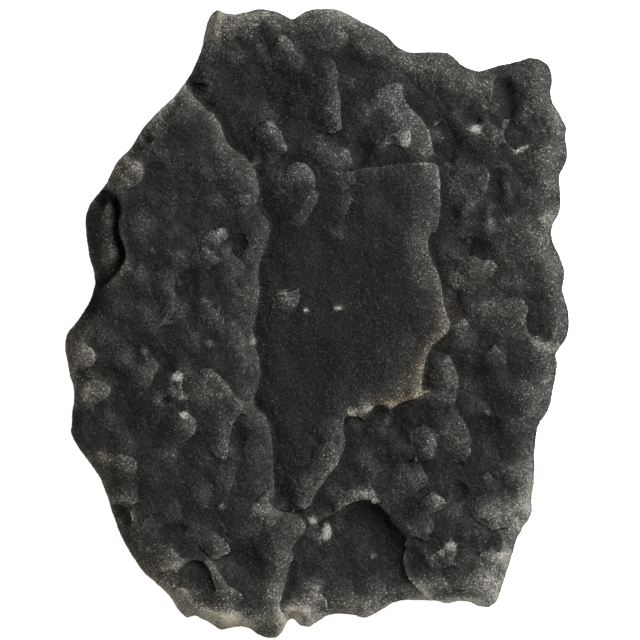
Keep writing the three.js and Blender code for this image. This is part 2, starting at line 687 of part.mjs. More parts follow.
// Corners on an even triangular net over the stone, each strayed a little
function strayNet(spacing, keep) {
  const rowHeight = (spacing * Math.sqrt(3)) / 2;
  const net = [];
  for (let row = 0; row * rowHeight < 2 * PLAN_MIDDLE.y; row++) {
    for (let column = 0; column * spacing < 2 * PLAN_MIDDLE.x; column++) {
      const strayX = (2 * THREE.MathUtils.seededRandom() - 1) * MESH_JITTER * spacing;
      const strayY = (2 * THREE.MathUtils.seededRandom() - 1) * MESH_JITTER * spacing;
      const x = (column + (row % 2) / 2) * spacing + strayX;
      const point = planPoint([x, row * rowHeight + strayY]);
      if (keep(point)) net.push(point);
    }
  }
  return net;
}

// Triangles between plan points, each as three indices turning left.
// Points raised onto a bowl have them as the underside of their hull.
function triangulate(points, loop) {
  const raised = points.map((p) => new THREE.Vector3(p.x, p.y, p.lengthSq()));
  const indexOf = new Map(raised.map((p, index) => [p, index]));
  const triangles = [];
  for (const face of new ConvexHull().setFromPoints(raised).faces) {
    const triangle = [2, 1, 0].map((k) => indexOf.get(face.getEdge(k).head().point));
    const middle = new THREE.Vector2();
    for (const index of triangle) middle.addScaledVector(points[index], 1 / 3);
    if (face.normal.z < 0 && depthIn(loop, middle) > 0) triangles.push(triangle);
  }
  return triangles;
}

// Brow and foot of every cliff: where each is in the plan, and where the stone has it
function cliffCorners() {
  const corners = [];
  for (const { loop } of [...plates, ...lobes, ...shells]) {
    const others = [...corners];
    const clear = (point) =>
      depthIn(outline, point) > CORNER_GAP && others.every((c) => c.plan.distanceTo(point) > CORNER_GAP);
    for (let k = 0; k < loop.length; k++) {
      const station = loop[k];
      const across = rightOf(loop.at(k - 1), loop[(k + 1) % loop.length]);
      const left = station.clone().addScaledVector(across, -CLIFF_RUN / 2);
      const right = station.clone().addScaledVector(across, CLIFF_RUN / 2);
      const drop = crustHeight(left) - crustHeight(right);
      if (Math.abs(drop) < LEAST_STEP || !clear(left) || !clear(right)) continue;
      const tuck = CLIFF_RUN + UNDERCUT * Math.min(1, Math.abs(drop) / TALL_CLIFF);
      const foot = drop > 0 ? right : left;
      for (const plan of [left, right]) {
        const shift = plan === foot ? -Math.sign(drop) * tuck : 0;
        const place = plan.clone().addScaledVector(across, shift);
        corners.push({ plan, place: new THREE.Vector3(place.x, place.y, crustHeight(plan)) });
      }
    }
  }
  return corners;
}

function crustCorners() {
  const onCrust = (plan) => ({ plan, place: new THREE.Vector3(plan.x, plan.y, crustHeight(plan)) });
  const cliffs = cliffCorners();
  const net = strayNet(
    MESH_SPACING,
    (p) => depthIn(outline, p) > CORNER_GAP && cliffs.every((c) => c.plan.distanceTo(p) > CORNER_GAP),
  );
  return [...outline.map(onCrust), ...cliffs, ...net.map(onCrust)];
}

// How far the side lies in from a corner of the outline, at a share of its height
function sideInset(station, { inset, share }) {
  const around = Math.atan2(station.y, station.x);
  const waves = SIDE_WAVES.map((wave) => wave.share * Math.sin(wave.count * around + wave.slant * share));
  return inset * (1 + waves[0] + waves[1]) + between(SIDE_STRAY);
}

function buildStone() {
  const crust = crustCorners();
  const places = crust.map((c) => c.place);
  const plan = crust.map((c) => c.plan);
  const faces = triangulate(plan, outline);

  // The side, ring under ring, each corner below one of the outline
  const count = outline.length;
  const corner = (start, k) => start + (k % count);
  let above = 0;
  for (const ring of SIDE_RINGS) {
    const below = places.length;
    outline.forEach((station, k) => {
      const inward = station.clone().setLength(station.length() - sideInset(station, ring));
      places.push(new THREE.Vector3(inward.x, inward.y, ring.share * places[k].z));
    });
    for (let k = 0; k < count; k++) {
      faces.push([corner(above, k), corner(above, k + 1), corner(below, k)]);
      faces.push([corner(below, k), corner(above, k + 1), corner(below, k + 1)]);
    }
    above = below;
  }

  // The flat back, facing down
  const backEdge = places.slice(above).map((p) => new THREE.Vector2(p.x, p.y));
  const backNet = strayNet(BACK_SPACING, (p) => depthIn(backEdge, p) > BACK_GAP);
  for (const p of backNet) places.push(new THREE.Vector3(p.x, p.y, 0));
  for (const [a, b, c] of triangulate([...backEdge, ...backNet], backEdge)) {
    faces.push([above + a, above + c, above + b]);
  }

  const geometry = new THREE.BufferGeometry().setFromPoints(places);
  geometry.setIndex(faces.flat());
  geometry.computeVertexNormals();
  return geometry;
}

const chalcedony = new THREE.MeshStandardMaterial({ color: 0x3b3b38, roughness: 0.45, metalness: 0 });
const stone = new THREE.Mesh(buildStone(), chalcedony);
stone.name = "druzy_stone";

const specimen = new THREE.Group();
specimen.add(stone);
export default specimen;
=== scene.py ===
"""Druzy chalcedony: a slab of dark, lumpy chalcedony under a crust of fine quartz crystals.

The stone lies on its flat back on a pale floor and is seen from straight above. Shapes are worked out in
millimetres, in the frame's axes, and turned to metres when their meshes are made.
"""

import math

import bpy
import numpy as np
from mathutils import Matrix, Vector, kdtree, noise


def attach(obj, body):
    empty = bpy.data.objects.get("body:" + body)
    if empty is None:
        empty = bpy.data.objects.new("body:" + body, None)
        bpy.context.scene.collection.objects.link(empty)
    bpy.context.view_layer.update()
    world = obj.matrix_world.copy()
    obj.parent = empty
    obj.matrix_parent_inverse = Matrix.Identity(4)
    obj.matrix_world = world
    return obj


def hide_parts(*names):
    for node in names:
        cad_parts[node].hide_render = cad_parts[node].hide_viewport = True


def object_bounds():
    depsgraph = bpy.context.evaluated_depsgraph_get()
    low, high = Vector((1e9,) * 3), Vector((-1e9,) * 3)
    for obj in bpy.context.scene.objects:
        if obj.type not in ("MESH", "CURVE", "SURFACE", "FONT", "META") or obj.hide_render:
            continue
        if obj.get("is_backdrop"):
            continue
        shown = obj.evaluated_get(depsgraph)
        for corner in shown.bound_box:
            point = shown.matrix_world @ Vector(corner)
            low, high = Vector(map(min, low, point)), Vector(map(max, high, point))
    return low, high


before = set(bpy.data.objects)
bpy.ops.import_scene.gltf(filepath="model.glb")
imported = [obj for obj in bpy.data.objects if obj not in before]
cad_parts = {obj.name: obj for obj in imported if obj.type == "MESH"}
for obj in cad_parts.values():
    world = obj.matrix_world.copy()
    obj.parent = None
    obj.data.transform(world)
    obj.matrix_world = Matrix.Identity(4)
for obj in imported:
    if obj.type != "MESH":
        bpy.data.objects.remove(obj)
cad_low, cad_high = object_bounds()

MM = 0.001
SEED = 8
rng = np.random.default_rng(SEED)

# The view: its width at the stone's rim, and the plan place that stands at the stone's middle. Plan places
# are in millimetres right of and below the view's upper left corner.
VIEW_WIDTH = 128.0
PLAN_MIDDLE = np.array([63.49, 64.66])
RIM_HEIGHT = 11.0
CAMERA_HEIGHT = 3000.0
SENSOR = 36.0
FARTHEST = 100.0  # nothing farther is seen, in metres

# The lights, in metres and watts: a key from the view's upper right, and a low fill from its lower left
LIGHT_DISTANCE = 1.2
KEY_TURN = math.radians(30)
KEY_RISE = math.radians(45)
KEY_SIZE = 1.0
KEY_POWER = 20
FILL_TURN = math.radians(225)
FILL_RISE = math.radians(8)
FILL_SIZE = 0.6
FILL_POWER = 4
SKY_STRENGTH = 0.16
WHITE = (1, 1, 1, 1)

# The floor, in metres
FLOOR_HALF = 6.0
FLOOR_DROP = 0.0003  # it lies this far under the stone
FLOOR_COLOUR = (0.85, 0.85, 0.85, 1)
FLOOR_ROUGHNESS = 0.9
FLOOR_SHINE = 0.95  # it shines by itself, so that it is white

# The texture maps: their margin, and the drop over which the sides spread to twice their reach
MAP_MARGIN = 0.01
MAP_SPREAD = 60.0

# The stone's form
WELD_DIGITS = 4  # points that are alike to this many decimals are one
SPLITS = 2  # each face becomes four, this many times
BACK_TOP = 0.05  # what lies lower is the flat back
SMOOTHING_PULLS = (0.5, -0.52)  # each point goes towards its neighbours' mean, and then away from it
SMOOTHING_ROUNDS = 18
SOFT_ROUNDS = 60  # more of them at the left rim, which is softer than the rest
SOFT_RIM = ((11, 65), (21, 65), (25, 72), (24, 84), (12, 86))
RIM_CELL = 0.5  # cells of the map in which the distance from the outline is measured
RIM_MARGIN = 4  # empty cells round that map
GAP_ROUNDS = 2  # rounds in which gaps between its covered cells are closed

# The crust's lumps
CRUST_END = (-0.45, 0.1)  # upward share of the normal where the side has become crust, from none to all
CRUST_SINK = 0.25  # the crust lies this far under the solid's skin, before its lumps are raised
EDGE_WIDTH = 1.2  # the outline itself stays where the solid has it, and the lumps begin this far inside
LUMP_LAYERS = ((6.5, 0.44), (3.0, 0.14), (1.1, 0.04))  # size and height of the lumps all over the crust
LUMP_REACH = 0.9  # a lump's foot, as a share of its size
LUMP_FACING = math.radians(25)  # lumps rise towards this side and end there steeply
LUMP_SLANT = 0.6  # share of a lump's height that it gains towards that side
LUMP_LEVEL = 0.6  # share of a lump's height that lies under the crust's skin
LUMP_SHIFT = np.array([7.3, 3.1, 5.7])  # how far one layer of lumps is moved from the one before it
KNOB_SHARE = 0.45  # share of a knob's height that stands out of the crust
SMOOTH_SHARE = 0.4  # share of the lumps' height that is left on the smooth plate
SMOOTH_ROUNDS = 25  # how softly the smooth plate goes over into its surroundings
SMOOTH_PLATE = ((53, 40), (71, 38), (85, 36), (86, 62), (82, 77), (69, 81), (53, 92))
ROUGHNESS_STEP = 0.015  # how far the points of the skin stray

# The broken sides and the back are worn in between lumps: the size of the lumps, and the depth between them
SIDE_LAYERS = ((8.0, 2.4), (3.0, 1.2), (1.1, 0.4))
SIDE_FLATNESS = np.array([0.6, 0.6, 1.6])  # the sides' lumps are wide and low
BACK_LAYERS = ((9.0, 0.9), (3.4, 0.5))

# A point's height is compared with the stretch round it: how many rounds of neighbours this takes in, and the
# height that counts as 1
FINE_ROUNDS, FINE_HEIGHT = 12, 0.16
BROAD_ROUNDS, BROAD_HEIGHT = 140, 0.7
MOST_STANDING = 1.5  # nothing counts as more

# Painted light: brows that drop away on the lit side are painted pale, for the key light on them and light
# shining in through them: where brows face, and how far in the light comes
GLOW_CELL = 0.4  # cells of the map in which drops are measured
GLOW_SIDES = np.radians((-60, -40, -20, 0, 20, 40, 60, 80))
GLOW_STEPS = np.arange(0.4, 6.1, 0.4)
GLOW_DEPTH = 3.2
GLOW_POWER = 1.3
GLOW_DROP = (0.08, 0.55)  # a lower step does not show, and a higher one adds nothing

# How much each of these adds to the tone, from 0, the darkest, to 1, the palest
GROUND_TONE = 0.262
# the next two, at two sizes: painted light where the crust stands out, painted shade in its creases
FINE_LIGHT_AND_SHADE = 0.05
BROAD_LIGHT_AND_SHADE = 0.05
PAINTED_BROW_LIGHT = 0.29
LIT_RIM_PAINTED_SHADE, FAR_RIM_PAINTED_LIGHT = -0.11, 0.17  # painted shade at the rim that faces the light, and painted light shining through the far one
RIM_DEPTH = 1.6
RIM_TURN = math.radians(15)  # the middle of the rim that faces the light
EDGE_PAINTED_LIGHT, EDGE_DEPTH = 0.33, 0.4  # painted light shining through the very edge of the outline
PALE_TONE = 1.0
MARK_FADE, MARK_POWER = 1.2, 1.5  # how soon a mark fades towards its edge

# The colours of the rim and of the bare sides
RIM_WARMTH, WARM_DEPTH = 0.45, 6.0  # how brown the rim is on its brown side
WARM_TURN = math.radians(207)  # the middle of that side
BARE_END = (-0.5, -0.1)  # upward share of the normal where the bare side's colour ends, from all to none

# The crystals, each a low pyramid on a foot of three corners
PIECES = ("druse_1", "druse_2", "druse_3", "druse_4")
CRYSTALS = 190000
STEEPEST_DRUSE = -0.05  # upward share of the normal where the crystals stop, at the rim
DRUSE_RIM = 6.0  # cliffs this far inside the outline are covered too
DRUSE_BOTTOM = 8.0  # lower cliffs are bare
CRYSTAL_RADIUS = 0.19
CRYSTAL_SPREAD = 0.2  # how much the radii differ
CRYSTAL_SLIMNESS = (0.05, 0.4)  # height of a tip over its radius, least and most
CRYSTAL_LEAN = 0.1
CRYSTAL_ROOT = 0.01  # how far the foot lies in the stone
CRYSTAL_TONE = (0.19, 0.35)  # how far a crystal's tone strays, on dark crust and on pale crust
STRAY_TONES = (0.22, 0.4)  # the tones of the dark crust and of the pale
FOOT_TURNS = (0, math.tau / 3, 2 * math.tau / 3)
CRYSTAL_CORNERS = len(FOOT_TURNS) + 1
CRYSTAL_FACES = np.array([(0, 1, 3), (1, 2, 3), (2, 0, 3), (0, 2, 1)])  # the tip is the last corner

# Knobs on the crust and, with a height below nought, pits: x, y, radius across, radius along, turn, height.
# The groups here and below go from the top down, where they say nothing else.
KNOBS = (
    # the left slab
    (41.8, 27.4, 0.8, 0.8, 0, 0.4),
    (29.4, 27.8, 1.3, 1.2, 0, -1.4),
    (44.4, 29.8, 2.2, 1.2, -10, 0.5),
    (31.2, 33.6, 1.8, 1.2, 0, -0.6),
    (20.2, 40.2, 1.2, 1.2, 0, -1.4),
    (30.4, 40.8, 0.5, 0.6, 0, 0.4),
    (48.6, 40.8, 0.8, 0.8, 0, 0.7),
    (41.0, 45.6, 0.5, 0.5, 0, 0.4),
    (44.4, 46.8, 1.6, 1.4, 0, 0.6),
    (41.0, 50.0, 0.9, 0.9, 0, 0.5),
    (43.0, 50.2, 0.6, 0.6, 0, 0.4),
    (30.5, 50.3, 0.7, 0.7, 0, 0.6),
    (36.0, 56.9, 0.6, 0.5, 0, 0.5),
    (40.6, 60.2, 0.7, 1.3, -25, 0.6),
    (33.8, 64.6, 0.9, 0.5, 0, 0.5),
    (48.2, 67.0, 0.9, 0.7, 0, 0.5),
    (50.8, 68.2, 0.8, 1.0, 0, 0.7),
    (42.0, 68.8, 1.1, 0.9, 0, 0.8),
    (28.8, 70.2, 1.2, 1.0, 0, 0.8),
    (42.0, 75.0, 1.6, 1.4, 0, 0.5),
    (35.4, 75.4, 1.4, 1.0, 0, 1.1),
    (44.6, 77.0, 1.4, 1.2, -30, 0.5),
    (34.5, 78.3, 1.2, 1.4, 0, 0.6),
    (36.6, 79.4, 1.1, 1.1, 0, 0.7),
    (33.2, 80.2, 0.8, 0.9, 0, -1.2),
    (36.8, 83.0, 1.2, 0.9, 0, 1.0),
    (34.6, 83.0, 0.9, 0.9, 0, 0.5),
    (40.6, 91.2, 0.6, 0.6, 0, 0.4),
    (32.6, 91.4, 0.7, 0.6, 0, 0.5),
    (38.6, 97.6, 0.9, 0.7, 0, 0.4),
    (53.6, 98.6, 1.2, 1.3, 0, 0.5),
    (44.2, 101.4, 0.9, 0.9, 0, 0.7),
    (51.0, 101.8, 1.4, 1.2, 0, 0.5),
    (46.0, 110.2, 1.3, 0.8, 30, 0.5),
    (41.8, 112.0, 1.0, 0.8, 0, 0.5),
    (35.4, 113.2, 1.5, 0.8, 10, 0.8),
    (44.2, 115.6, 0.9, 1.2, 20, 0.6),
    (36.5, 119.2, 1.4, 0.9, 0, 0.6),
    (55.6, 119.6, 1.3, 0.8, 0, 0.5),
    # the top and the lobes over the middle plate
    (58.4, 6.6, 0.8, 0.7, 0, 0.5),
    (56.3, 7.8, 0.9, 0.9, 0, 0.8),
    (65.2, 9.9, 0.9, 0.6, -20, 0.5),
    (79.4, 17.2, 1.4, 0.8, 0, 0.5),
    (67.0, 20.4, 0.8, 1.8, 0, 0.6),
    (54.0, 24.6, 0.9, 0.7, 0, 0.5),
    (67.6, 25.2, 0.7, 1.2, 0, 0.6),
    (63.8, 27.2, 0.8, 0.7, 0, 0.6),
    (65.2, 28.8, 0.8, 0.6, 0, 0.4),
    (81.0, 28.8, 1.4, 1.0, 0, 0.7),
    (57.0, 29.6, 0.7, 0.9, 0, 0.6),
    (68.8, 30.6, 1.3, 1.2, 0, 0.6),
    # the right side
    (94.8, 25.9, 1.6, 1.1, 0, 1.1),
    (95.6, 29.8, 0.8, 0.7, 0, 0.4),
    (104.2, 29.9, 1.7, 0.6, 25, 0.8),
    (97.6, 35.6, 0.7, 0.8, 0, 0.4),
    (109.0, 43.8, 1.8, 1.2, 0, 0.6),
    (93.7, 48.4, 0.4, 0.4, 0, 0.4),
    (94.4, 51.8, 1.5, 0.7, -10, 0.5),
    (101.4, 56.8, 1.0, 0.6, 10, 0.4),
    (105.8, 58.0, 1.0, 0.7, -20, 0.5),
    (98.6, 60.4, 0.6, 1.2, 30, 0.5),
    (100.0, 62.6, 0.6, 1.0, 30, 0.4),
    (109.2, 76.2, 1.0, 0.6, 15, 0.6),
    (102.6, 78.8, 0.6, 0.5, 0, 0.5),
    (97.6, 82.6, 0.9, 0.7, -30, 0.7),
    (105.6, 83.0, 0.8, 0.9, 0, 0.6),
    (88.6, 86.7, 1.5, 0.8, -5, 0.5),
    (93.4, 88.0, 0.8, 1.1, 0, 0.4),
    (102.2, 89.0, 0.7, 0.5, 0, 0.4),
    (94.0, 90.6, 0.7, 1.0, 0, 0.4),
    (84.8, 95.6, 1.0, 0.8, 0, 0.4),
    (97.4, 95.6, 1.0, 1.1, 0, 0.6),
    (88.0, 96.6, 0.5, 0.7, 0, 0.4),
    (87.4, 100.0, 1.5, 1.1, -30, 0.6),
    (99.0, 105.5, 1.1, 0.5, 10, 0.5),
    (85.2, 106.2, 1.0, 1.2, 0, 0.5),
    (89.8, 109.3, 1.4, 1.2, 0, 0.8),
    (100.6, 111.4, 1.1, 0.9, 30, 0.6),
    # the middle plate, the arch and the hollow
    (72.6, 42.6, 0.6, 0.5, 0, 0.3),
    (68.0, 47.0, 0.6, 1.1, 0, 0.4),
    (73.8, 51.0, 0.5, 0.5, 0, 0.3),
    (66.4, 54.0, 0.8, 0.5, 0, 0.3),
    (56.4, 58.4, 1.4, 0.7, 15, 0.5),
    (77.6, 72.4, 1.0, 1.2, 0, 0.3),
    (80.4, 72.6, 1.0, 1.0, 0, 0.3),
    (79.0, 80.4, 1.3, 0.8, 10, 0.5),
    (73.3, 81.9, 1.3, 0.9, 10, 0.6),
    (70.4, 82.6, 1.2, 1.1, 0, 0.6),
    (73.4, 99.0, 1.8, 0.8, -5, 0.6),
    (62.4, 104.2, 0.8, 1.0, 0, 0.9),
    (65.2, 106.5, 1.1, 1.8, -10, 1.0),
    (77.6, 108.0, 0.5, 0.5, 0, 0.4),
    (74.6, 111.2, 0.9, 0.7, 0, 0.7),
    (63.0, 117.4, 0.8, 0.5, -20, 0.5),
    (60.4, 124.0, 0.9, 0.9, 0, -1.2),
)

# Pale places: x, y, radius across, radius along, turn, strength. Along the outline and the rims they are
# painted light shining through thin edges and brows; the knobs and specks are simply paler
PALE_AND_LIT_PLACES = (
    # along the outline, from the upper left round the right: painted light through the thin edge
    (42.2, 4.8, 1.8, 3.2, -15, 0.6),
    (109.2, 43.6, 2.0, 1.6, 0, 0.45),
    (108.0, 68.6, 3.0, 1.2, -30, 0.5),
    (110.8, 69.6, 1.8, 1.0, 20, 0.5),
    (109.2, 76.2, 1.0, 0.6, 15, 0.6),
    (106.0, 100.0, 1.2, 3.4, 0, 0.5),
    (100.7, 111.3, 1.8, 1.2, 40, 0.9),
    (85.2, 119.0, 1.6, 1.6, 0, 0.5),
    (63.6, 123.2, 2.0, 1.2, 0, 0.4),
    (58.2, 122.8, 1.4, 1.4, 0, 0.9),
    (47.6, 124.4, 3.6, 1.0, -5, 1.0),
    (41.6, 122.6, 3.6, 1.4, -20, 0.6),
    (36.6, 119.0, 2.0, 1.4, 0, 0.4),
    (34.6, 113.2, 2.4, 1.1, 12, 0.6),
    (23.4, 99.8, 2.4, 1.2, 0, 0.5),
    (20.4, 91.2, 2.0, 1.4, -20, 0.35),
    (17.0, 79.0, 1.6, 3.0, -10, 0.15),
    (15.6, 71.0, 2.4, 3.0, -20, 0.12),
    (24.4, 35.2, 2.6, 2.4, 0, 0.4),
    (26.6, 32.8, 2.6, 1.4, -25, 0.5),
    # the rims of the middle plate and of the arch: painted light on and through their brows
    (89.4, 61.0, 1.4, 4.0, 12, 0.16),
    (86.8, 68.2, 1.2, 2.4, -40, 0.4),
    (84.0, 74.0, 1.4, 4.4, -6, 0.25),
    (83.6, 79.2, 3.4, 1.0, 10, 0.55),
    (77.6, 80.9, 2.4, 1.0, 12, 0.8),
    (73.4, 82.0, 2.0, 1.1, 20, 0.8),
    (70.4, 82.6, 1.4, 1.3, 0, 0.8),
    (73.4, 99.2, 2.8, 1.0, -5, 0.6),
    (70.0, 101.0, 2.4, 0.8, 32, 0.3),
    # knobs and specks
    (56.3, 7.8, 0.9, 0.9, 0, 0.5),
    (54.0, 24.6, 1.0, 0.7, 0, 0.35),
    (94.8, 25.9, 1.6, 1.1, 0, 1.0),
    (80.4, 29.2, 1.5, 1.0, 0, 0.25),
    (57.0, 29.7, 0.7, 0.9, 0, 0.4),
    (104.2, 29.9, 1.8, 0.6, 25, 0.9),
    (93.7, 48.4, 0.5, 0.5, 0, 0.6),
    (30.5, 50.3, 0.7, 0.7, 0, 0.35),
    (36.0, 56.9, 0.6, 0.5, 0, 0.4),
    (56.4, 58.3, 1.4, 0.6, 15, 0.5),
    (40.6, 60.2, 0.7, 1.2, -25, 0.35),
    (67.7, 61.6, 1.1, 0.6, 5, 1.0),
    (61.2, 62.0, 0.7, 0.6, 0, 1.0),
    (33.8, 64.6, 0.9, 0.5, 0, 0.5),
    (50.8, 68.2, 0.8, 1.0, 0, 0.6),
    (42.0, 68.8, 1.1, 0.8, 0, 0.45),
    (28.8, 70.2, 1.1, 0.9, 0, 0.3),
    (35.4, 75.4, 1.5, 1.0, 0, 1.0),
    (36.6, 79.4, 0.8, 0.8, 0, 0.35),
    (97.6, 82.6, 0.8, 0.6, -30, 0.3),
    (36.9, 83.0, 1.2, 0.9, 0, 0.8),
    (87.4, 100.0, 1.6, 1.2, -30, 0.3),
    (44.2, 101.4, 0.7, 0.8, 0, 0.35),
    (51.2, 102.0, 1.6, 1.2, 0, 0.2),
    (62.4, 104.2, 0.9, 1.1, 0, 0.9),
    (65.2, 106.6, 1.2, 1.9, -10, 0.95),
    (89.8, 109.3, 1.6, 1.3, 0, 0.8),
    (74.6, 111.2, 0.9, 0.7, 0, 0.35),
    (63.0, 117.4, 0.8, 0.5, -20, 0.4),
)
